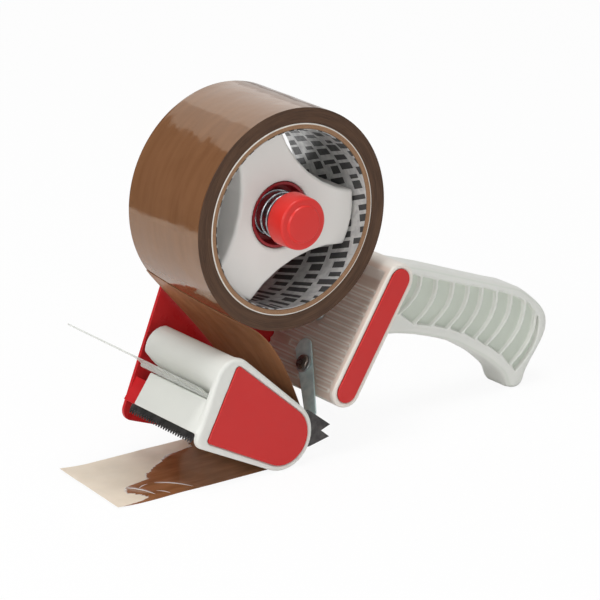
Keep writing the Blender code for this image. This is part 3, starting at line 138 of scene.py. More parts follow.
class Finish(Wiring):
    """One material and short calls for the nodes that make it."""

    def __init__(self, name, roughness, metallic=0.0):
        self.material = bpy.data.materials.new(name)
        self.material.use_nodes = True
        super().__init__(self.material.node_tree)
        self.shader = self.tree.nodes["Principled BSDF"]
        self.set("Roughness", roughness)
        self.set("Metallic", metallic)
        self.place = self.node("ShaderNodeTexCoord").outputs["Object"]
        self.normal = None

    def set(self, socket, value):
        self.put(self.shader.inputs[socket], value)

    def shade(self, mask, colour):
        """Multiplies the base colour by another where the mask is high."""
        base = self.shader.inputs["Base Color"].links[0].from_socket
        self.set("Base Color", self.mix(mask, base, colour, "MULTIPLY"))

    def true_normal(self):
        return self.node("ShaderNodeNewGeometry").outputs["Normal"]

    def about(self, origin=(0, 0, 0), turn=(0, 0, 0), stretch=(1, 1, 1)):
        """Coordinates about an origin, turned and stretched."""
        moved = self.node("ShaderNodeVectorMath", self.place, tuple(origin), operation="SUBTRACT")
        return self.node("ShaderNodeMapping", moved.outputs[0], (0, 0, 0), turn, stretch).outputs[0]

    def scaled(self, where, stretch):
        return self.node("ShaderNodeVectorMath", where, stretch, operation="MULTIPLY").outputs[0]

    def dot(self, one, other):
        made = self.node("ShaderNodeVectorMath", one, other, operation="DOT_PRODUCT")
        return made.outputs["Value"]

    def parts(self, where):
        """Separate X, Y and Z of coordinates."""
        return tuple(self.node("ShaderNodeSeparateXYZ", where).outputs)

    def join(self, x, y, z):
        return self.node("ShaderNodeCombineXYZ", x, y, z).outputs[0]

    def noise(self, size, detail=3.0, where=None, rough=0.5, warp=0.0):
        made = self.node("ShaderNodeTexNoise", where or self.place)
        made.inputs["Scale"].default_value = 1 / size
        made.inputs["Detail"].default_value = detail
        made.inputs["Roughness"].default_value = rough
        made.inputs["Distortion"].default_value = warp
        return made.outputs["Fac"]

    def calc(self, operation, a, b=0.0, clamp=False):
        made = self.node("ShaderNodeMath", a, b, operation=operation, use_clamp=clamp)
        return made.outputs[0]

    def plus(self, a, b):
        return self.calc("ADD", a, b)

    def minus(self, a, b, clamp=False):
        return self.calc("SUBTRACT", a, b, clamp)

    def times(self, a, b, clamp=False):
        return self.calc("MULTIPLY", a, b, clamp)

    def over(self, a, b, clamp=False):
        return self.calc("DIVIDE", a, b, clamp)

    def span(self, value, low, high, start=0.0, end=1.0):
        """Smooth step from start to end as the value goes from low to high."""
        made = self.node(
            "ShaderNodeMapRange", value, low, high, start, end, interpolation_type="SMOOTHSTEP"
        )
        return made.outputs[0]

    def mix(self, share, first, second, blend="MIX"):
        """Mixed colour; the node's sockets for colours come after those for other kinds."""
        made = self.node("ShaderNodeMix", share, data_type="RGBA", blend_type=blend)
        self.put(made.inputs[6], first)
        self.put(made.inputs[7], second)
        return made.outputs[2]

    def polar(self, middle):
        """Distance from the Y axis through a point, height along it and turn about it."""
        x, y, z = self.parts(self.about(middle))
        radius = self.calc("SQRT", self.plus(self.calc("POWER", x, 2), self.calc("POWER", z, 2)))
        return radius, y, self.calc("ARCTAN2", z, x)

    def headed(self, x, y, angle):
        """Place in a plane, measured along and across a heading."""
        u = self.plus(self.times(x, math.cos(angle)), self.times(y, math.sin(angle)))
        v = self.minus(self.times(y, math.cos(angle)), self.times(x, math.sin(angle)))
        return u, v

    def curve(self, value, points):
        """Piecewise line through (value, result) points, results from 0 to 1."""
        low, high = points[0][0], points[-1][0]
        share = self.over(self.minus(value, low), high - low, clamp=True)
        made = self.node("ShaderNodeValToRGB", share)
        stops = made.color_ramp.elements
        for i, (at, result) in enumerate(points):
            place = (at - low) / (high - low)
            stop = stops[i] if i < 2 else stops.new(place)
            stop.position = place
            stop.color = (result, result, result, 1)
        return made.outputs[0]

    def bump(self, height, depth):
        """Relief of a given depth, on top of what there is."""
        made = self.node("ShaderNodeBump")
        made.inputs["Distance"].default_value = depth
        made.inputs["Strength"].default_value = 1.0
        self.put(made.inputs["Height"], height)
        if self.normal is not None:
            self.put(made.inputs["Normal"], self.normal)
        self.normal = made.outputs[0]
        self.set("Normal", self.normal)

    def edges(self, width):
        """Mask of worn edges: where a rounded normal leaves the true one, broken up by noise."""
        soft = self.node("ShaderNodeBevel", width, samples=4)
        turn = self.minus(1.0, self.dot(soft.outputs[0], self.true_normal()))
        worn = self.times(turn, self.span(self.noise(0.8 * MM, 4), 0.35, 0.65, 0.2, 2.0))
        return self.span(worn, 0.02, 0.14)

    def occlusion_mask(self, reach):
        """Mask of corners and recesses, from ambient occlusion."""
        made = self.node("ShaderNodeAmbientOcclusion", samples=4)
        made.inputs["Distance"].default_value = reach
        return self.minus(1.0, made.outputs["AO"], clamp=True)


def plastic(name, colour, dark, worn, roughness, grain=0.35 * MM, grain_depth=0.006 * MM):
    """Moulded plastic: faint mottling, fine grain, scuffs, darker corners and recesses, and rubbed edges."""
    f = Finish(name, roughness)
    colour, dark, worn = tint(*colour), tint(*dark), tint(*worn)
    mottle = f.span(f.noise(22 * MM, 2), 0.3, 0.7)
    base = f.mix(f.times(mottle, 0.22), colour, dark)
    # Darker in corners and recesses, by an ambient-occlusion mask
    hollows = f.span(f.occlusion_mask(3.0 * MM), 0.25, 0.95)
    base = f.mix(f.times(hollows, 0.35), base, dark, "MULTIPLY")
    base = f.mix(f.times(f.edges(0.35 * MM), 0.6), base, worn)
    f.set("Base Color", base)
    scuff = f.noise(5 * MM, 5, f.about(turn=(0.4, 0.9, 0.3), stretch=(1, 5, 1)), 0.65)
    f.set("Roughness", f.span(scuff, 0.35, 0.75, roughness - 0.04, roughness + 0.08))
    f.set("IOR", 1.44)
    f.bump(f.noise(grain, 2), grain_depth)
    f.bump(f.noise(9 * MM, 2), 0.02 * MM)
    return f


# Painted shade: what the handle's sunk cells and the housing's ribbed wall are multiplied by
CELL_PAINTED_SHADE = tint(231, 239, 230)
WALL_PAINTED_SHADE = tint(231, 209, 199)


def handled(name, colour, dark, worn, roughness):
    """Moulded plastic with painted shade in the handle's sunk cells, which makes them darker and greener."""
    f = plastic(name, colour, dark, worn, roughness)
    y = f.parts(f.about(centre("handle_grip")))[1]
    facing = f.parts(f.true_normal())[1]
    face = half_size("handle_grip", Y)
    sunk = f.span(f.calc("ABSOLUTE", y), face - 1.6 * MM, face - 0.7 * MM, 1.0, 0.0)
    flat = f.span(f.calc("ABSOLUTE", facing), 0.5, 0.85)
    # Painted shade in the sunk cells
    f.shade(f.times(f.times(sunk, flat), 0.8), CELL_PAINTED_SHADE)
    return f


def ribbed(name, colour, dark, worn, roughness):
    """Moulded plastic with painted shade on the housing's wall: browner, for the roll's shadow and the brown light
    it throws there, most of all between its ribs.
    """
    f = plastic(name, colour, dark, worn, roughness)
    reach = f.dot(f.place, tuple(FRONT))
    facing = f.dot(f.true_normal(), tuple(FRONT))
    off = f.calc("ABSOLUTE", f.minus(reach, RIB_BASE))
    near = f.span(off, 0.34 * MM, 0.60 * MM, 1.0, 0.75)
    flat = f.span(facing, 0.86, 0.99)
    # Painted shade and painted brown bounce light on the wall, darkest between the ribs
    f.shade(f.times(f.times(near, flat), 0.85), WALL_PAINTED_SHADE)
    return f


def metal(name, colour, dark, roughness, metallic=1.0, worn=(225, 228, 230)):
    """Plated or bare steel: cloudy plating, fine grain and brighter edges."""
    f = Finish(name, roughness, metallic)
    cloud = f.span(f.noise(4 * MM, 5, rough=0.6), 0.3, 0.7)
    base = f.mix(cloud, tint(*colour), tint(*dark))
    f.set("Base Color", f.mix(f.times(f.edges(0.25 * MM), 0.7), base, tint(*worn)))
    grain = f.noise(0.25 * MM, 3, rough=0.6)
    f.set("Roughness", f.span(f.noise(2.2 * MM, 4), 0.3, 0.75, roughness - 0.08, roughness + 0.16))
    f.bump(grain, 0.003 * MM)
    return f


def painted(name):
    """Powder-coated sheet: orange peel, small chips down to grey steel along its edges."""
    f = Finish(name, 0.32)
    tone = f.span(f.noise(26 * MM, 2), 0.3, 0.7, 0.0, 0.4)
    base = f.mix(tone, tint(204, 38, 42), tint(186, 30, 36))
    base = f.mix(f.times(f.edges(0.4 * MM), 0.2), base, tint(214, 66, 62))
    specks = f.span(f.noise(1.6 * MM, 3, rough=0.6), 0.62, 0.70)
    chips = f.times(specks, f.span(f.edges(0.35 * MM), 0.6, 1.0, 0.0, 0.7))
    f.set("Base Color", f.mix(chips, base, tint(120, 118, 116)))
    f.set("Metallic", f.times(chips, 0.7))
    f.set("Roughness", f.span(f.noise(6 * MM, 5), 0.3, 0.75, 0.26, 0.42))
    f.set("IOR", 1.38)
    f.bump(f.noise(1.3 * MM, 2), 0.004 * MM)
    return f


def wound_film(name):
    """Outer face of the wound tape: glossy brown film with faint bands, haze and trapped air."""
    f = Finish(name, 0.16)
    _, y, turn = f.polar(AXIS)
    round_it = f.join(f.times(turn, ROLL_R), y, 0.0)
    bands = f.noise(3.5 * MM, 4, f.scaled(round_it, (0.12, 1.0, 1.0)))
    patches = f.noise(16 * MM, 3, f.scaled(round_it, (0.6, 1.0, 1.0)), warp=0.6)
    base = f.mix(f.span(bands, 0.3, 0.7), tint(127, 88, 60), tint(119, 81, 54))
    base = f.mix(f.span(patches, 0.45, 0.7, 0.0, 0.4), base, tint(134, 95, 66))
    edge = f.span(f.calc("ABSOLUTE", y), HALF - 0.8 * MM, HALF, 0.0, 0.6)
    f.set("Base Color", f.mix(edge, base, tint(92, 60, 40)))
    haze = f.noise(8 * MM, 5, f.scaled(round_it, (0.5, 1, 1)))
    f.set("Roughness", f.span(haze, 0.3, 0.7, 0.06, 0.14))
    f.set("IOR", 1.78)
    f.set("Specular Tint", tint(255, 240, 214))
    f.bump(f.noise(1.2 * MM, 2, f.scaled(round_it, (0.15, 1, 1))), 0.003 * MM)
    f.bump(f.noise(12 * MM, 2, round_it), 0.26 * MM)
    return f


def wound_side(name):
    """Edges of the wound tape: hundreds of thin turns, seen as fine rings that come and go."""
    f = Finish(name, 0.42)
    radius, _, turn = f.polar(AXIS)
    rings = f.noise(0.35 * MM, 3, f.join(radius, f.times(turn, 0.0011), 0.0), 0.7)
    broad = f.noise(2.2 * MM, 3, f.join(radius, f.times(turn, 0.004), 0.0))
    base = f.mix(f.span(rings, 0.35, 0.65), tint(83, 57, 38), tint(64, 43, 28))
    base = f.mix(f.span(broad, 0.4, 0.7, 0.0, 0.55), base, tint(92, 65, 45))
    f.set("Base Color", base)
    f.set("Roughness", f.span(rings, 0.3, 0.7, 0.50, 0.66))
    f.set("IOR", 1.38)
    f.bump(rings, 0.03 * MM)
    f.bump(broad, 0.05 * MM)
    return f


def board(name):
    """Kraft core: fibres, plies that show as rings at its ends, a white outer ply."""
    f = Finish(name, 0.85)
    radius, _, turn = f.polar(AXIS)
    fibres = f.noise(0.5 * MM, 4, f.about(stretch=(1, 0.3, 1)), 0.7)
    plies = f.noise(0.4 * MM, 2, f.join(radius, f.times(turn, 0.0006), 0.0))
    base = f.mix(f.span(fibres, 0.3, 0.7), tint(160, 124, 92), tint(140, 106, 78))
    base = f.mix(f.span(plies, 0.5, 0.75, 0.0, 0.5), base, tint(120, 84, 58))
    rim = f.span(radius, CORE_R - 0.55 * MM, CORE_R - 0.40 * MM)
    f.set("Base Color", f.mix(rim, base, tint(226, 222, 214)))
    f.bump(fibres, 0.03 * MM)
    return f


# Print of the liner: from bar to bar, height of a row, bars to a group, how many bars each row is
# shifted by, how far its numbers are from the next row's, and slant
BAR_PITCH, BAR_ROW, BAR_GROUP = 4.6 * MM, 12.0 * MM, 6
BAR_SHIFT, BAR_NUMBERS = 2.3, 37.0
BAR_SLANT = math.radians(20)
# Whole numbers added to keep a count of bars or rows above zero
BARS_UP, ROWS_UP = 200.0, 100.0


def foil(name):
    """Silver paper inside the core, printed with plain slanted bars of uneven width and height."""
    f = Finish(name, 0.34, 0.55)
    _, y, turn = f.polar(AXIS)
    u, v = f.headed(f.times(turn, LINER_R), y, BAR_SLANT)
    row = f.calc("FLOOR", f.over(v, BAR_ROW))
    along = f.plus(f.over(u, BAR_PITCH), f.times(row, BAR_SHIFT))
    across = f.calc("FRACT", f.plus(along, BARS_UP))
    up = f.calc("FRACT", f.plus(f.over(v, BAR_ROW), ROWS_UP))
    count = f.plus(f.calc("FLOOR", along), f.times(row, BAR_NUMBERS))
    uneven = f.node("ShaderNodeTexWhiteNoise", noise_dimensions="1D")
    f.put(uneven.inputs["W"], count)
    wide = f.plus(0.38, f.times(uneven.outputs["Value"], 0.44))
    tall = f.calc("FRACT", f.times(uneven.outputs["Value"], 7.0))
    tall = f.plus(0.52, f.times(f.calc("GREATER_THAN", tall, 0.45), 0.30))
    bar = f.times(f.calc("LESS_THAN", across, wide), f.calc("LESS_THAN", up, tall))
    group = f.calc("FRACT", f.over(f.plus(f.calc("FLOOR", along), BARS_UP), BAR_GROUP))
    bar = f.times(bar, f.calc("LESS_THAN", group, 1 - 0.5 / BAR_GROUP))
    crinkle = f.noise(2.5 * MM, 4, warp=0.4)
    base = f.mix(f.span(crinkle, 0.3, 0.7), tint(214, 214, 212), tint(190, 190, 190))
    f.set("Base Color", f.mix(f.times(bar, 0.95), base, tint(30, 29, 30)))
    f.set("Metallic", f.minus(0.55, f.times(bar, 0.5)))
    f.set("Roughness", f.span(crinkle, 0.3, 0.7, 0.28, 0.45))
    f.bump(crinkle, 0.03 * MM)
    return f


# Where the tail turns from brown to pale, the pale part partly painted reflection and the brown part partly
# painted shade: place across the tape from its middle, and how far ahead of the roller it turns, as a share of the
# tail's reach
TAIL_TURN = [
    (-25, 0.960), (-23.4, 0.860), (-21.5, 0.780), (-18, 0.790), (-13, 0.835), (-8, 0.815),
    (-6.4, 0.780), (-4.5, 0.640), (1, 0.600), (6.6, 0.480), (12.7, 0.370), (15.6, 0.204),
    (25, 0.120),
]
# Painted highlights along creases near the tail's near edge: middle (x, y) from the roller, heading in degrees,
# half length and half width
HIGHLIGHT_STREAKS = [
    (-45.5, -15.8, -50, 8.5, 0.42), (-60.6, -13.5, -65, 7.6, 0.36), (-53.3, -19.9, -62, 3.4, 0.32),
    (-57.0, -9.5, 20, 3.0, 0.26),
]


def highlight_streak(f, x, y, middle_x, middle_y, heading, length, width):
    """Mask of one thin tapering line of painted highlight on the table."""
    dx, dy = f.minus(x, middle_x * MM), f.minus(y, middle_y * MM)
    u, v = f.headed(dx, dy, math.radians(heading))
    bow = f.times(f.calc("POWER", f.over(u, length * MM), 2), 0.6 * MM)
    off = f.over(f.calc("ABSOLUTE", f.plus(v, bow)), width * MM)
    taper = f.minus(1.0, f.over(f.calc("ABSOLUTE", u), length * MM), clamp=True)
    return f.span(f.minus(f.calc("POWER", taper, 0.5), off), -0.1, 0.25)


def film(name):
    """Threaded tape: brown glossy film that turns pale on the table towards its free end; the pale is partly the
    single layer seen through over the table and partly painted reflection of the white surroundings, and the brown
    kept near the nose is partly painted shade.
    """
    f = Finish(name, 0.14)
    x, y, z = f.parts(f.about(ROLLER))
    reach = ROLLER.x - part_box("tape_web")[0].x
    ahead = f.over(x, -reach)
    turn = f.curve(y, [(across * MM, share) for across, share in TAIL_TURN])
    ragged = f.noise(2.6 * MM, 5, f.about(stretch=(0.6, 1.2, 1.0)), 0.6, 0.5)
    turn = f.plus(turn, f.times(f.minus(ragged, 0.5), 0.10))
    on_table = f.times(f.calc("GREATER_THAN", ahead, 0.0), f.calc("LESS_THAN", z, -ROLLER_R / 2))
    # Pale towards the free end: partly the layer seen over the table, partly painted reflection; the brown near
    # the nose partly painted shade
    pale = f.times(f.span(f.minus(ahead, turn), -0.008, 0.012), on_table)
    streaks = f.noise(3 * MM, 4, f.about(stretch=(0.15, 1, 0.15)))
    brown = f.mix(f.span(streaks, 0.3, 0.7), tint(158, 110, 74), tint(140, 94, 60))
    deep = f.span(f.noise(8 * MM, 3, f.about(stretch=(0.5, 1, 1))), 0.35, 0.7, 0.0, 0.6)
    brown = f.mix(f.times(deep, on_table), brown, tint(126, 84, 52))
    light = f.mix(f.span(f.noise(9 * MM, 3), 0.3, 0.7), tint(239, 224, 204), tint(233, 218, 198))
    base = f.mix(pale, brown, light)
    # Whitish line along the border of the pale part: painted highlight
    rim = f.times(f.times(pale, f.minus(1.0, pale)), 3.0, clamp=True)
    base = f.mix(rim, base, tint(236, 230, 222))
    # Painted highlights along the creases
    bright = 0.0
    for line in HIGHLIGHT_STREAKS:
        bright = f.calc("MAXIMUM", highlight_streak(f, x, y, *line), bright)
    bright = f.times(bright, on_table)
    f.set("Base Color", f.mix(f.times(bright, 0.95), base, tint(250, 249, 246)))
    rough = f.span(f.noise(6 * MM, 4), 0.3, 0.7, 0.10, 0.24)
    hung = f.minus(1.0, on_table)
    dull = f.calc("MAXIMUM", f.times(pale, 0.34), f.times(hung, 0.28))
    f.set("Roughness", f.plus(rough, dull))
    f.set("IOR", 1.45)
    f.bump(f.noise(1.5 * MM, 3, f.about(stretch=(0.2, 1, 0.2))), 0.008 * MM)
    return f


def clear(name, solid, roughness):
    """Clear sheet plastic, a little milky; solid is the share of light it stops."""
    f = Finish(name, roughness)
    cloud = f.span(f.noise(9 * MM, 2), 0.3, 0.7)
    f.set("Base Color", f.mix(cloud, tint(224, 226, 220), tint(216, 219, 213)))
    f.set("Roughness", f.span(f.noise(7 * MM, 3), 0.3, 0.7, roughness, roughness + 0.08))
    f.set("IOR", 1.46)
    f.set("Alpha", solid)
    f.bump(f.noise(9 * MM, 1), 0.001 * MM)
    return f


# Mesh helpers

def added(name, data):
    """New object in the scene."""
    made = bpy.data.objects.new(name, data)
    bpy.context.scene.collection.objects.link(made)
    return made


def mesh_from(name, work):
    mesh = bpy.data.meshes.new(name)
    work.to_mesh(mesh)
    work.free()
    return mesh


def dress(obj, finish, smooth_deg=35):
    obj.data.materials.clear()
    obj.data.materials.append(finish.material)
    obj.data.shade_smooth()
    if smooth_deg:
        obj.data.set_sharp_from_angle(angle=math.radians(smooth_deg))
    return obj


def settle(obj):
    """Works the modifiers into the mesh."""
    bpy.context.view_layer.update()
    graph = bpy.context.evaluated_depsgraph_get()
    mesh = bpy.data.meshes.new_from_object(obj.evaluated_get(graph))
    obj.modifiers.clear()
    obj.data = mesh


def tidy(mesh, flat_deg=0.4):
    """Joins points that lie together and takes out edges inside flat faces."""
    work = bmesh.new()
    work.from_mesh(mesh)
    bmesh.ops.remove_doubles(work, verts=work.verts, dist=0.002 * MM)
    if flat_deg:
        bmesh.ops.dissolve_limit(
            work, angle_limit=math.radians(flat_deg), verts=work.verts, edges=work.edges
        )
    bmesh.ops.recalc_face_normals(work, faces=work.faces)
    work.to_mesh(mesh)
    work.free()
    return mesh


def copy_of(node, flat_deg=0.4):
    """New object with a node's own form."""
    mesh = NODES[node].data.copy()
    mesh.name = node + "_look"
    return added(node + "_look", tidy(mesh, flat_deg))


def body_name(node):
    bodies = frame["record"]["behaviour"]["bodies"]
    return next(body for body, members in bodies.items() if node in members)


def stand_for(obj, node):
    """Obj rides on the node's body and replaces it."""
    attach(obj, body_name(node))
    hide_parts(node)


def moulded(node, finish, voxel, rounds=3):
    """A node's form with the soft edges of a moulding."""
    made = copy_of(node, 0)
    remesh = made.modifiers.new("skin", "REMESH")
    remesh.mode = "VOXEL"
    remesh.voxel_size = voxel
    soften = made.modifiers.new("soften", "SMOOTH")
    soften.factor = 0.5
    soften.iterations = rounds
    settle(made)
    dress(made, finish, 0)
    stand_for(made, node)


def edged(node, finish, width, segments=2):
    """A node's form with small rounded edges."""
    made = copy_of(node)
    round_off = made.modifiers.new("edges", "BEVEL")
    round_off.width = width
    round_off.segments = segments
    round_off.limit_method = "ANGLE"
    round_off.angle_limit = math.radians(28)
    round_off.use_clamp_overlap = True
    settle(made)
    dress(made, finish, 40)
    level = made.modifiers.new("level", "WEIGHTED_NORMAL")
    level.keep_sharp = True
    settle(made)
    stand_for(made, node)


def fillet(points, radius, steps=4, closed=True):
    """Polyline with rounded corners; a point's third number is its own radius."""
    curve = []
    count = len(points)
    for i, point in enumerate(points):
        here = Vector(point[:2])
        if not closed and i in (0, count - 1):
            curve.append(tuple(here))
            continue
        before, after = Vector(points[i - 1][:2]), Vector(points[(i + 1) % count][:2])
        one, two = before - here, after - here
        reach = min(point[2] if len(point) > 2 else radius, 0.45 * one.length, 0.45 * two.length)
        if reach < 1e-6:
            curve.append(tuple(here))
            continue
        a, b = here + one.normalized() * reach, here + two.normalized() * reach
        for k in range(steps + 1):
            t = k / steps
            spot = a * (1 - t) ** 2 + here * 2 * t * (1 - t) + b * t * t
            curve.append((spot.x, spot.y))
    return curve


def turned(name, profile, finish, middle=AXIS, steps=160, closed=True, form=None):
    """Piece turned about the Y axis through middle, from a profile of (radius, y)."""
    work = bmesh.new()
    rings = []
    for i in range(steps):
        turn = math.tau * i / steps
        ring = []
        for radius, y in profile:
            r, h = form(radius, y, turn) if form else (radius, y)
            ring.append(work.verts.new((
                middle.x + r * math.cos(turn), h, middle.z + r * math.sin(turn)
            )))
        rings.append(ring)
    count = len(profile)
    for i in range(steps):
        one, two = rings[i], rings[(i + 1) % steps]
        for k in range(count if closed else count - 1):
            m = (k + 1) % count
            work.faces.new((one[k], two[k], two[m], one[m]))
    return dress(added(name, tidy(mesh_from(name, work), 0)), finish)


def tube(name, points, radius, finish, sides=14):
    """Round wire along points, with domed ends."""
    work = bmesh.new()
    rings = []
    side = None
    last = len(points) - 1
    for i, point in enumerate(points):
        ahead = (points[min(i + 1, last)] - points[max(i - 1, 0)]).normalized()
        if side is None:
            side = ahead.orthogonal().normalized()
        side = (side - ahead * side.dot(ahead)).normalized()
        other = ahead.cross(side)
        size = radius * (0.55 if i in (0, last) else 1.0)
        rings.append([
            work.verts.new(point + (side * math.cos(a) + other * math.sin(a)) * size)
            for a in (math.tau * k / sides for k in range(sides))
        ])
    for one, two in zip(rings, rings[1:]):
        for k in range(sides):
            m = (k + 1) % sides
            work.faces.new((one[k], one[m], two[m], two[k]))
    work.faces.new(rings[0][::-1])
    work.faces.new(rings[-1])
    return dress(added(name, tidy(mesh_from(name, work), 0)), finish)


def slab(name, grid, thickness, finish, rim_finish=None):
    """Thin sheet of even thickness on a grid of points, with closed edges."""
    rows, columns = len(grid), len(grid[0])
    work = bmesh.new()
    top, low = [], []
    for i in range(rows):
        tops, lows = [], []
        for j in range(columns):
            run = grid[min(i + 1, rows - 1)][j] - grid[max(i - 1, 0)][j]
            across = grid[i][min(j + 1, columns - 1)] - grid[i][max(j - 1, 0)]
            out = run.cross(across).normalized() * (thickness / 2)
            tops.append(work.verts.new(grid[i][j] + out))
            lows.append(work.verts.new(grid[i][j] - out))
        top.append(tops)
        low.append(lows)
    for i in range(rows - 1):
        for j in range(columns - 1):
            work.faces.new((top[i][j], top[i + 1][j], top[i + 1][j + 1], top[i][j + 1]))
            work.faces.new((low[i][j], low[i][j + 1], low[i + 1][j + 1], low[i + 1][j]))
    rim = [(i, 0) for i in range(rows)] + [(rows - 1, j) for j in range(1, columns)]
    rim += [(i, columns - 1) for i in range(rows - 2, -1, -1)]
    rim += [(0, j) for j in range(columns - 2, 0, -1)]
    for (i, j), (k, m) in zip(rim, rim[1:] + rim[:1]):
        side = work.faces.new((top[i][j], low[i][j], low[k][m], top[k][m]))
        side.material_index = 1 if rim_finish else 0
    made = dress(added(name, tidy(mesh_from(name, work), 0)), finish)
    if rim_finish:
        made.data.materials.append(rim_finish.material)
    return made


# Finishes: each plastic or metal has its colour, a darker and a worn one

PALE = plastic("pale_plastic", (228, 229, 223), (212, 214, 208), (238, 239, 235), 0.42)
HOUSING = ribbed("housing_plastic", (234, 228, 219), (220, 213, 203), (240, 237, 231), 0.42)
GRIP = handled("grip_plastic", (228, 229, 223), (212, 214, 208), (238, 239, 235), 0.42)
HUB_PALE = plastic("hub_plastic", (238, 236, 231), (224, 222, 217), (243, 242, 239), 0.38)
# The red's lighter edge colour is partly wear and partly painted highlight along the inlays' rims
RED = plastic(
    "red_plastic", (204, 34, 32), (188, 29, 28), (216, 76, 70), 0.42, 0.6 * MM, 0.010 * MM
)
CUP_RED = plastic("cup_plastic", (150, 24, 32), (124, 16, 26), (180, 52, 56), 0.38)
KNOB = plastic("knob_plastic", (218, 44, 38), (202, 36, 34), (236, 88, 78), 0.32)
PAINT = painted("red_paint")
ZINC = metal("zinc_plate", (206, 211, 212), (170, 178, 181), 0.36, 0.75)
SPRING = metal("spring_steel", (206, 211, 214), (150, 158, 164), 0.20)
DARK = metal("dark_steel", (88, 86, 85), (62, 60, 60), 0.42, 0.7, (165, 166, 168))
BRASS = metal("brass", (200, 164, 92), (168, 130, 66), 0.32, worn=(230, 204, 140))
ROLLER_GREY = plastic("roller_plastic", (196, 196, 192), (184, 184, 180), (210, 210, 206), 0.5)
FILM_OUT = wound_film("brown_tape")
FILM_SIDE = wound_side("tape_edges")
BOARD = board("kraft_board")
FOIL = foil("liner_foil")
FILM = film("tape_film")
CLEAR = clear("clear_plastic", 0.50, 0.40)
CLEAR_BEAD = clear("clear_bead", 0.50, 0.30)
CLEAR_EDGE = clear("clear_edge", 1.0, 0.4)
LEAF = metal("leaf_steel", (226, 249, 248), (198, 228, 228), 0.38, 0.10)
SCREW = metal("screw_steel", (158, 150, 142), (104, 96, 90), 0.30, 0.8)


# Pieces

def tape_roll():
    """Roll of tape: a rippled outer face and slightly uneven wound sides."""
    low, high = AXIS.y - HALF, AXIS.y + HALF
    bore = CORE_R + 0.1 * MM
    rows, turns = 44, 26
    rim = ROLL_R - 0.12 * MM
    shoulder = 0.15 * MM
    profile = [(bore, high)]
    profile += [(bore + (ROLL_R - bore) * k / turns, high) for k in range(1, turns)]
    profile += [(rim, high), (ROLL_R, high - shoulder)]
    profile += [(ROLL_R, high + (low - high) * k / rows) for k in range(1, rows)]
    profile += [(ROLL_R, low + shoulder), (rim, low)]
    profile += [(bore + (ROLL_R - bore) * k / turns, low) for k in range(turns - 1, 0, -1)]
    profile += [(bore, low)]

    def form(radius, y, turn):
        inward = 1.0 if y > AXIS.y else -1.0
        east, north = math.cos(turn), math.sin(turn)
        if radius > ROLL_R - 0.05 * MM:
            spot = Vector((east * 2.4, y / (9 * MM), north * 2.4))
            ripple = noise.noise(spot) * 0.055
            ripple += noise.noise(spot * 0.45 + Vector((7, 3, 1))) * 0.06
            return radius - 0.02 * MM + ripple * MM, y
        ring = noise.noise(Vector((radius / (0.8 * MM), 4.0, 0.15 * east)))
        wander = noise.noise(Vector((radius / (3.5 * MM), east * 0.5, north * 0.5)))
        return radius, y - inward * (0.12 + 0.07 * ring + 0.12 * wander) * MM

    made = turned("tape_roll_look", profile, FILM_OUT, steps=256, form=form)
    made.data.materials.append(FILM_SIDE.material)
    for face in made.data.polygons:
        if abs(face.normal.y) > 0.7:
            face.material_index = 1
    stand_for(made, "tape_roll")


def core_and_liner():
    """Kraft core with soft ends, and the thin printed liner inside it."""
    low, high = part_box("tape_core")
    inner = LINER_R + 0.2 * MM
    profile = fillet([
        (CORE_R, high.y), (CORE_R, low.y), (inner, low.y), (inner, high.y),
    ], 0.25 * MM, 3)
    core = turned("tape_core_look", profile, BOARD, steps=200)
    stand_for(core, "tape_core")
    wall, inset = 0.3 * MM, 0.2 * MM
    profile = fillet([
        (LINER_R, high.y - inset), (LINER_R, low.y + inset),
        (LINER_R - wall, low.y + inset), (LINER_R - wall, high.y - inset),
    ], 0.1 * MM, 2)
    liner = turned("core_liner_look", profile, FOIL, steps=200)
    stand_for(liner, "core_liner")


def brake_cup():
    """Cup in the hub that holds the far end of the spring."""
    low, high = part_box("brake_cup")
    outer = half_size("brake_cup")
    wall, floor = 1.3 * MM, 1.2 * MM
    bore = 3.3 * MM
    profile = fillet([
        (outer, high.y), (outer, low.y), (outer - wall, low.y),
        (outer - wall, high.y - floor, 1.4 * MM), (bore, high.y - floor), (bore, high.y),
    ], 0.35 * MM)
    cup = turned("brake_cup_look", profile, CUP_RED)
    stand_for(cup, "brake_cup")


def knob():
    """Turned knob: a faint waist, a rounded shoulder and a raised cap."""
    low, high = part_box("knob")
    outer = half_size("knob")
    face, base = low.y, high.y
    step = 0.8 * MM
    cap = 7.6 * MM
    pocket = 4.9 * MM
    floor = base - 7.6 * MM
    profile = fillet([
        (0, floor), (pocket, floor), (pocket, base), (outer, base),
        (outer - 0.1 * MM, base - 2.5 * MM), (outer - 0.4 * MM, face + step, 1.5 * MM),
        (cap + 0.5 * MM, face + step + 0.1 * MM, 0.5 * MM),
        (cap + 0.3 * MM, face + step - 0.1 * MM, 0.2 * MM), (cap, face, 0.9 * MM), (0, face),
    ], 0.4 * MM, 5, closed=False)
    made = turned("knob_look", profile, KNOB, closed=False)
    stand_for(made, "knob")
    edged("knob_insert", BRASS, 0.2 * MM)


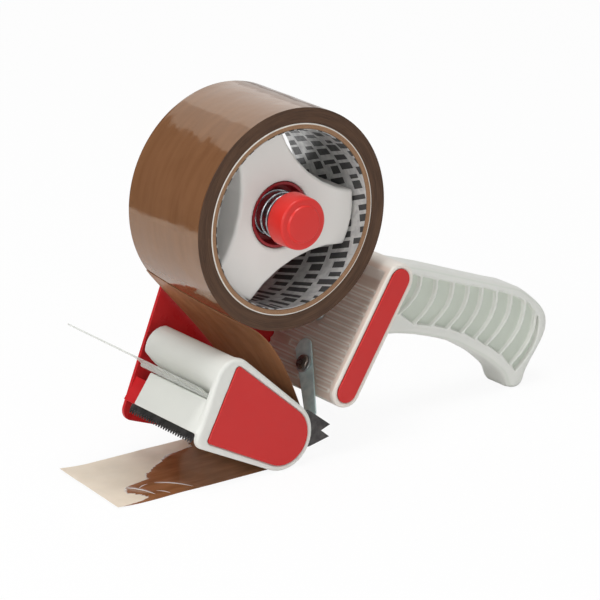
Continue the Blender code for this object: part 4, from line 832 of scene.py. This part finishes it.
def brake_spring():
    """Wire spring from the cup's floor to its washer, its last turns drawn together."""
    low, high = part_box("brake_spring")
    wire = 0.55 * MM
    radius = half_size("brake_spring") - wire
    near, far = low.y + wire, high.y - wire
    turns, steps = 3.2, 64
    # Share of the wire drawn together at each end, and the share of the height it takes up
    closed, drop = 0.26, 0.17
    points = []
    count = int(turns * steps)
    for i in range(count + 1):
        t = i / count
        if t < closed:
            rise = drop * (t / closed)
        elif t > 1 - closed:
            rise = 1 - drop * ((1 - t) / closed)
        else:
            rise = drop + (1 - 2 * drop) * (t - closed) / (1 - 2 * closed)
        a = math.tau * turns * t
        points.append(Vector((
            AXIS.x + radius * math.cos(a), near + (far - near) * rise, AXIS.z + radius * math.sin(a)
        )))
    made = tube("brake_spring_look", points, wire, SPRING)
    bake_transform(made)
    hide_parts("brake_spring")


# The threaded tape's near and far edges: where each leaves the roll, in degrees, and how far it
# keeps to its direction there and above the roller
NEAR_EDGE = (-119, 14 * MM, 26 * MM)
FAR_EDGE = (-140, 24 * MM, 18 * MM)
# Where it meets the roller, what it keeps of the roll, and how much shorter its far edge is
WRAP = math.radians(20)
HELD = math.radians(5)
TAIL_SLANT = 4.6 * MM
FILM_THICK = 0.12 * MM
# Share of the tail that lifts off the table, and how high its end stands
TAIL_LIFTED, TAIL_RISE = 0.20, 0.9 * MM
# Creases of the tail: middle (x, y) from the roller, heading in degrees, half length, half width
# and height
CREASES = [
    (-45.5, -15.8, -50, 8, 1.2, 0.5),
    (-60.6, -13.5, -65, 7, 1.1, 0.5),
    (-34, 8, 34, 9, 2.4, 0.5),
]


def film_line(share):
    """Middle line of the threaded tape in X and Z, at a share of its width from the near edge."""
    peel, leave_run, meet_run = (
        near + (far - near) * share for near, far in zip(NEAR_EDGE, FAR_EDGE)
    )
    peel = math.radians(peel)
    roll_r = ROLL_R + 0.17 * MM
    wrap_r = ROLLER_R + 0.35 * MM
    stuck, hung, wound = 4, 32, 24
    line = []
    for k in range(stuck + 1):
        a = peel - HELD * (1 - k / stuck)
        line.append(Vector((AXIS.x + roll_r * math.cos(a), AXIS.z + roll_r * math.sin(a))))
    start = line[-1]
    end = Vector((ROLLER.x + wrap_r * math.cos(WRAP), ROLLER.z + wrap_r * math.sin(WRAP)))
    leaving = start + Vector((-math.sin(peel), math.cos(peel))) * leave_run
    coming = end - Vector((math.sin(WRAP), -math.cos(WRAP))) * meet_run
    for k in range(1, hung):
        t = k / hung
        line.append(
            start * (1 - t) ** 3 + leaving * 3 * t * (1 - t) ** 2
            + coming * 3 * t * t * (1 - t) + end * t ** 3
        )
    for k in range(wound + 1):
        a = WRAP - (WRAP + math.pi / 2) * k / wound
        line.append(Vector((ROLLER.x + wrap_r * math.cos(a), ROLLER.z + wrap_r * math.sin(a))))
    return line


def tape_film():
    """Threaded tape: off the roll, round the roller, out on the table to a slanted, lifted end."""
    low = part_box("tape_web")[0]
    steps, columns = 150, 60
    lines = [film_line(j / columns) for j in range(columns + 1)]
    floor = lines[0][-1].y
    places = [AXIS.y + HALF * (2 * j / columns - 1) for j in range(columns + 1)]
    grid = []
    for spots in zip(*lines):
        grid.append([Vector((spot.x, y, spot.y)) for spot, y in zip(spots, places)])
    for k in range(1, steps + 1):
        row = []
        for j, y in enumerate(places):
            reach = ROLLER.x - low.x - TAIL_SLANT * j / columns
            x = ROLLER.x - reach * k / steps
            row.append(Vector((x, y, tail_height(x, y, k / steps, floor))))
        grid.append(row)
    made = slab("tape_film", grid, FILM_THICK, FILM)
    stand_for(made, "tape_web")


def tail_height(x, y, share, floor):
    """Height of the tail over the table: flat, with a few creases and a lifted free end."""
    base = 0.15 * MM
    height = base + (floor - base) * max(0.0, 1 - share * 6) ** 2
    for cx, cy, heading, length, width, rise in CREASES:
        dx, dy = x - (ROLLER.x + cx * MM), y - (AXIS.y + cy * MM)
        a = math.radians(heading)
        u, v = dx * math.cos(a) + dy * math.sin(a), dy * math.cos(a) - dx * math.sin(a)
        along, across = u / (length * MM), v / (width * MM)
        height += rise * MM * math.exp(-along ** 2) / (1 + across ** 2 * 1.5)
    swell = noise.noise(Vector((x / (16 * MM), y / (18 * MM), 2.0)))
    height += max(0.0, swell) * 0.3 * MM * min(1.0, share * 2)
    return height + TAIL_RISE * max(0.0, (share - (1 - TAIL_LIFTED)) / TAIL_LIFTED) ** 2


def flap():
    """Thin flap on its bead: rounded tip, slight crown, hazy clear plastic."""
    low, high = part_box("flap")
    hinge = next(j for j in frame["joints"] if j["name"] == "flap_swing")["pos_m"]
    root = Vector((hinge[0], AXIS.y, hinge[2]))
    tip = min((v.co for v in NODES["flap"].data.vertices), key=lambda point: point.x)
    run = Vector((tip.x - root.x, 0, tip.z - root.z))
    ahead = run.normalized()
    up = Vector((-ahead.z, 0, ahead.x))
    if up.z < 0:
        up = -up
    half = half_size("flap", Y) - 0.3 * MM
    length = run.length - 0.2 * MM
    rows, columns = 40, 24
    corner = 5 * MM
    # Height of the crown, and the share of the length it takes to rise
    crown, start = 1.4 * MM, 0.15
    grid = []
    for i in range(rows + 1):
        s = i / rows
        inset = max(0.0, s * length - (length - corner))
        trim = corner - math.sqrt(max(0.0, corner ** 2 - inset ** 2))
        lift = crown * (1 - s) * (1 - max(0.0, 1 - s / start) ** 2)
        spot = root + ahead * (s * length) + up * lift
        grid.append([
            Vector((spot.x, AXIS.y + (2 * j / columns - 1) * (half - trim), spot.z))
            for j in range(columns + 1)
        ])
    sheet = slab("flap_sheet", grid, 0.62 * MM, CLEAR, CLEAR_EDGE)
    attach(sheet, "flap")
    bead_r = 1.1 * MM
    profile = fillet([
        (0, low.y), (bead_r, low.y), (bead_r, high.y), (0, high.y),
    ], 0.4 * MM, 3, closed=False)
    bead = turned("flap_bead", profile, CLEAR_BEAD, root, 32, closed=False)
    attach(bead, "flap")
    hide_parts("flap")


def cut(obj, other):
    """Takes the other object's form out of obj."""
    change = obj.modifiers.new("cut", "BOOLEAN")
    change.object = other
    change.solver = "EXACT"
    settle(obj)
    bpy.data.objects.remove(other)


def placed(obj, base, direction):
    """Moves a piece made round the Y axis to stand at base, its head pointing along direction."""
    turn = Vector((0, -1, 0)).rotation_difference(direction).to_matrix().to_4x4()
    obj.data.transform(Matrix.Translation(base) @ turn)


def box_mesh(sizes):
    work = bmesh.new()
    bmesh.ops.create_cube(work, size=1)
    mesh = mesh_from("box", work)
    mesh.transform(Matrix.Diagonal((*sizes, 1)))
    return mesh


def seat_line(node, direction):
    """Reach of a node along a direction, and the point of its middle line at no reach."""
    low, high = extent(node, direction)
    middle = centre(node)
    return low, high, middle - direction * middle.dot(direction)


def pan_screw(node, direction, finish):
    """Pan-head screw with a cross recess, its shank threaded."""
    low, high, base = seat_line(node, direction)
    head_r, head_h, shank_r = 3.3 * MM, 1.6 * MM, 1.5 * MM
    pitch, thread = 1.1 * MM, 0.22 * MM
    seat = high - head_h
    length = seat - low
    arcs, rows = 8, 60
    profile = [(0, -head_h)]
    for k in range(1, arcs + 1):
        a = math.pi / 2 * k / arcs
        profile.append((
            head_r * 0.985 * math.sin(a) ** 0.8, -head_h * (0.22 + 0.78 * math.cos(a) ** 0.9)
        ))
    profile += [(head_r, -0.2 * MM), (head_r - 0.1 * MM, 0), (shank_r, 0)]
    profile += [(shank_r, length * k / rows) for k in range(1, rows)]
    profile += [(shank_r * 0.5, length), (0, length)]

    def form(radius, y, turn):
        if 0.3 * MM < y < length - 0.4 * MM and radius > shank_r - 0.01 * MM:
            phase = (y / pitch + turn / math.tau) % 1.0
            return radius - thread * abs(2 * phase - 1), y
        return radius, y

    made = turned(node + "_look", profile, finish, Vector((0, 0, 0)), 40, closed=False, form=form)
    arm, slot, deep = 3.6 * MM, 0.75 * MM, 1.5 * MM
    for sizes in ((arm, deep, slot), (slot, deep, arm)):
        tool = added("tool", box_mesh(sizes))
        tool.location = (0, -head_h, 0)
        cut(made, tool)
    dress(made, finish, 32)
    placed(made, base + direction * seat, direction)
    stand_for(made, node)


def washer(node, direction, bore):
    """Flat ring with rounded rims, on a node's middle line."""
    low, high, base = seat_line(node, direction)
    outer = max((v.co - base).cross(direction).length for v in NODES[node].data.vertices)
    thick = high - low
    profile = fillet([(outer, 0), (outer, -thick), (bore, -thick), (bore, 0)], 0.25 * MM, 3)
    made = turned(node + "_look", profile, ZINC, Vector((0, 0, 0)), 64)
    placed(made, base + direction * low, direction)
    stand_for(made, node)


def shaft_and_nut():
    """Threaded shaft with its shoulder, and the chamfered nut on the far side."""
    low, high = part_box("hub_shaft")
    wide = half_size("hub_shaft")
    radius, blunt = 3.0 * MM, 0.3 * MM
    pitch, thread = 1.0 * MM, 0.3 * MM
    shoulder_high = PLATE_FACE - 0.3 * MM
    shoulder_low = shoulder_high - 1.3 * MM
    rows = 70
    top, bottom = high.y - blunt, PLATE_FACE + 1.0 * MM
    profile = [(0, high.y), (radius - 0.5 * MM, high.y)]
    profile += [(radius, top + (bottom - top) * k / rows) for k in range(rows + 1)]
    profile += [
        (radius, shoulder_high), (wide, shoulder_high), (wide, shoulder_low),
        (radius, shoulder_low), (radius, low.y + blunt), (radius - blunt, low.y), (0, low.y),
    ]

    def form(r, y, turn):
        if bottom - 0.01 * MM < y < top and abs(r - radius) < 0.01 * MM:
            phase = (y / pitch + turn / math.tau) % 1.0
            return r - thread * abs(2 * phase - 1), y
        return r, y

    made = turned("hub_shaft_look", profile, ZINC, AXIS, 64, closed=False, form=form)
    stand_for(made, "hub_shaft")

    nut_low, nut_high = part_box("shaft_nut")
    base, top = nut_low.y, nut_high.y
    corner = half_size("shaft_nut")
    flat = corner * math.cos(math.pi / 6)
    bore = radius + 0.15 * MM
    mouth = bore + 0.25 * MM

    def hexed(r, y, turn):
        """Flats of the nut, cut back to a circle at both ends."""
        if r < bore + 0.5 * MM:
            return r, y
        local = (turn % (math.pi / 3)) - math.pi / 6
        depth = min(y - base, top - y)
        return min(flat / math.cos(local), flat + 0.1 * MM + depth * 1.7, r), y

    profile = [(mouth, top), (corner * 0.80, top)]
    profile += [(corner, top - (top - base) * k / 16) for k in range(17)]
    profile += [(corner * 0.80, base), (mouth, base), (bore, base + blunt), (bore, top - blunt)]
    nut = turned("shaft_nut_look", profile, ZINC, AXIS, 96, form=hexed)
    dress(nut, ZINC, 25)
    stand_for(nut, "shaft_nut")


def axle():
    """Roller's axle with a domed head on the far side."""
    low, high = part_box("roller_axle")
    head_r = half_size("roller_axle")
    radius, head_h = 3.0 * MM, 1.5 * MM
    profile = fillet([
        (0, high.y), (head_r * 0.62, high.y, 1.2 * MM), (head_r, high.y - head_h * 0.55, 0.8 * MM),
        (head_r, high.y - head_h), (radius, high.y - head_h), (radius, low.y + 0.4 * MM),
        (radius - 0.4 * MM, low.y), (0, low.y),
    ], 0.15 * MM, 5, closed=False)
    made = turned("roller_axle_look", profile, ZINC, ROLLER, 64, closed=False)
    stand_for(made, "roller_axle")


def film_roller():
    """Guide roller: a hub inside a rim, joined by one web."""
    low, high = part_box("guide_roller")
    wall, web, soft = 2.2 * MM, 1.3 * MM, 1.0 * MM
    hub, bore = 6.0 * MM, 3.3 * MM
    mid = (low.y + high.y) / 2
    rim = ROLLER_R - wall
    profile = fillet([
        (ROLLER_R, high.y), (ROLLER_R, low.y), (rim, low.y), (rim, mid - web, soft),
        (hub, mid - web, soft), (hub, low.y), (bore, low.y), (bore, high.y), (hub, high.y),
        (hub, mid + web, soft), (rim, mid + web, soft), (rim, high.y),
    ], 0.4 * MM)
    made = turned("guide_roller_look", profile, ROLLER_GREY, ROLLER, 96)
    stand_for(made, "guide_roller")


# Floor, light and camera

FLOOR_SIZE = 6.0
FLOOR_TONE = 0.96
FLOOR_GLOW = 0.92
BACKDROP = 0.8
FILL = 0.40
# Soft lights: place from the reel, width, and the brightness each gives a white surface
LIGHTS = {
    "top": ((-0.12, -0.14, 1.76), 0.8, 0.51),
    "left": ((-1.58, -0.27, 0.81), 0.9, 0.35),
    "front": ((-0.85, -1.45, 0.42), 0.9, 0.15),
    "rear": ((0.52, 0.94, 0.56), 0.7, 0.05),
}
# Dark board: distance from the reel, heading there, width and height, drop below the reel and tone
FLAG_AWAY, FLAG_TURN = 0.45, math.atan2(0.92, -0.52)
FLAG_WIDTH, FLAG_HEIGHT = 0.72, 0.46
FLAG_DROP = AXIS.z - 1 * MM
FLAG_TONE = 0.012
# Camera: place from the reel, lens and sensor in millimetres, and where it looks
EYE = Vector((-0.9291, -1.2889, 0.4997))
LENS, SENSOR = 241.4, 36
EYE_TURN, EYE_RISE = -0.6358, 0.3283


def grey(tone):
    return (tone, tone, tone, 1)


def bare_wiring(owner):
    """Emptied node tree of a material or world."""
    owner.use_nodes = True
    owner.node_tree.nodes.clear()
    return Wiring(owner.node_tree)


def soft_floor():
    """Pale matt floor that keeps shadows and looks nearly white to the camera."""
    work = bmesh.new()
    bmesh.ops.create_grid(work, x_segments=2, y_segments=2, size=FLOOR_SIZE)
    floor = added("floor", mesh_from("floor", work))
    made = bpy.data.materials.new("floor")
    w = bare_wiring(made)
    seen = w.node("ShaderNodeLightPath").outputs["Is Camera Ray"]
    share = w.node("ShaderNodeMath", seen, FLOOR_GLOW, operation="MULTIPLY").outputs[0]
    matt = w.node("ShaderNodeBsdfDiffuse", grey(FLOOR_TONE)).outputs[0]
    glow = w.node("ShaderNodeEmission", grey(1.0), 1.0).outputs[0]
    w.node("ShaderNodeOutputMaterial", w.node("ShaderNodeMixShader", share, matt, glow).outputs[0])
    floor.data.materials.append(made)


def softbox(name, offset, size, level):
    """Square soft light that faces the reel."""
    lamp = bpy.data.lights.new(name, "AREA")
    lamp.shape = "SQUARE"
    lamp.size = size
    lamp.energy = level * (math.pi * offset.length) ** 2
    made = added(name, lamp)
    made.location = AXIS + offset
    made.rotation_euler = offset.to_track_quat("Z", "Y").to_euler()


def studio():
    """Dim fill light all round, a brighter backdrop where it is seen, and the soft lights."""
    world = bpy.data.worlds.new("studio")
    bpy.context.scene.world = world
    w = bare_wiring(world)
    rays = w.node("ShaderNodeLightPath").outputs
    seen = rays["Is Camera Ray"]
    for kind in ("Is Glossy Ray", "Is Transmission Ray"):
        seen = w.node("ShaderNodeMath", seen, rays[kind], operation="MAXIMUM").outputs[0]
    fill = w.node("ShaderNodeBackground", grey(BACKDROP), FILL).outputs[0]
    bright = w.node("ShaderNodeBackground", grey(BACKDROP), 1.0).outputs[0]
    w.node("ShaderNodeOutputWorld", w.node("ShaderNodeMixShader", seen, fill, bright).outputs[0])
    for name, (offset, size, level) in LIGHTS.items():
        softbox(name, Vector(offset), size, level)


def dark_flag():
    """Dark board standing behind the dispenser's left; only mirror-like surfaces show it."""
    made = added("flag", box_mesh((FLAG_WIDTH, 0.01, FLAG_HEIGHT)))
    made.location = AXIS + Vector((
        FLAG_AWAY * math.cos(FLAG_TURN), FLAG_AWAY * math.sin(FLAG_TURN),
        FLAG_HEIGHT / 2 - FLAG_DROP,
    ))
    made.rotation_euler = (0, 0, FLAG_TURN - math.pi / 2)
    dark = Finish("flag", 1.0)
    dark.set("Base Color", grey(FLAG_TONE))
    made.data.materials.append(dark.material)
    made.visible_camera = False
    made.visible_diffuse = False
    made.visible_transmission = False
    made.visible_shadow = False


def camera():
    """Long lens above and ahead of the dispenser's near side."""
    lens = bpy.data.cameras.new("camera")
    lens.sensor_width = SENSOR
    lens.lens = LENS
    made = added("camera", lens)
    made.location = AXIS + EYE
    back = Vector((
        math.sin(EYE_TURN) * math.cos(EYE_RISE), -math.cos(EYE_TURN) * math.cos(EYE_RISE),
        math.sin(EYE_RISE),
    ))
    made.rotation_euler = back.to_track_quat("Z", "Y").to_euler()
    bpy.context.scene.camera = made


moulded("nose_guard", PALE, 0.45 * MM)
moulded("handle_grip", GRIP, 0.52 * MM)
moulded("rear_housing", HOUSING, 0.42 * MM, 2)
moulded("reel_hub", HUB_PALE, 0.55 * MM)
edged("side_plate", PAINT, 0.3 * MM)
edged("guard_inlay", RED, 0.25 * MM)
edged("housing_inlay", RED, 0.25 * MM)
edged("tape_catch", DARK, 0.15 * MM)
edged("blade", DARK, 0.08 * MM, 1)
edged("backstop_leaf", LEAF, 0.12 * MM)
edged("blade_rivet_1", ZINC, 0.35 * MM, 3)
edged("blade_rivet_2", ZINC, 0.35 * MM, 3)
tape_roll()
core_and_liner()
brake_cup()
knob()
brake_spring()
tape_film()
flap()
film_roller()
axle()
shaft_and_nut()
washer("shaft_washer", Y_AXIS, 3.3 * MM)
washer("spring_washer", Y_AXIS, 3.3 * MM)
washer("leaf_washer", FRONT, 1.9 * MM)
pan_screw("leaf_screw", FRONT, SCREW)
pan_screw("handle_screw_1", FRONT, ZINC)
pan_screw("handle_screw_2", FRONT, ZINC)
pan_screw("plate_screw_1", Y_AXIS, ZINC)
pan_screw("plate_screw_2", Y_AXIS, ZINC)
soft_floor()
studio()
dark_flag()
camera()
bpy.context.scene.view_settings.view_transform = "Standard"
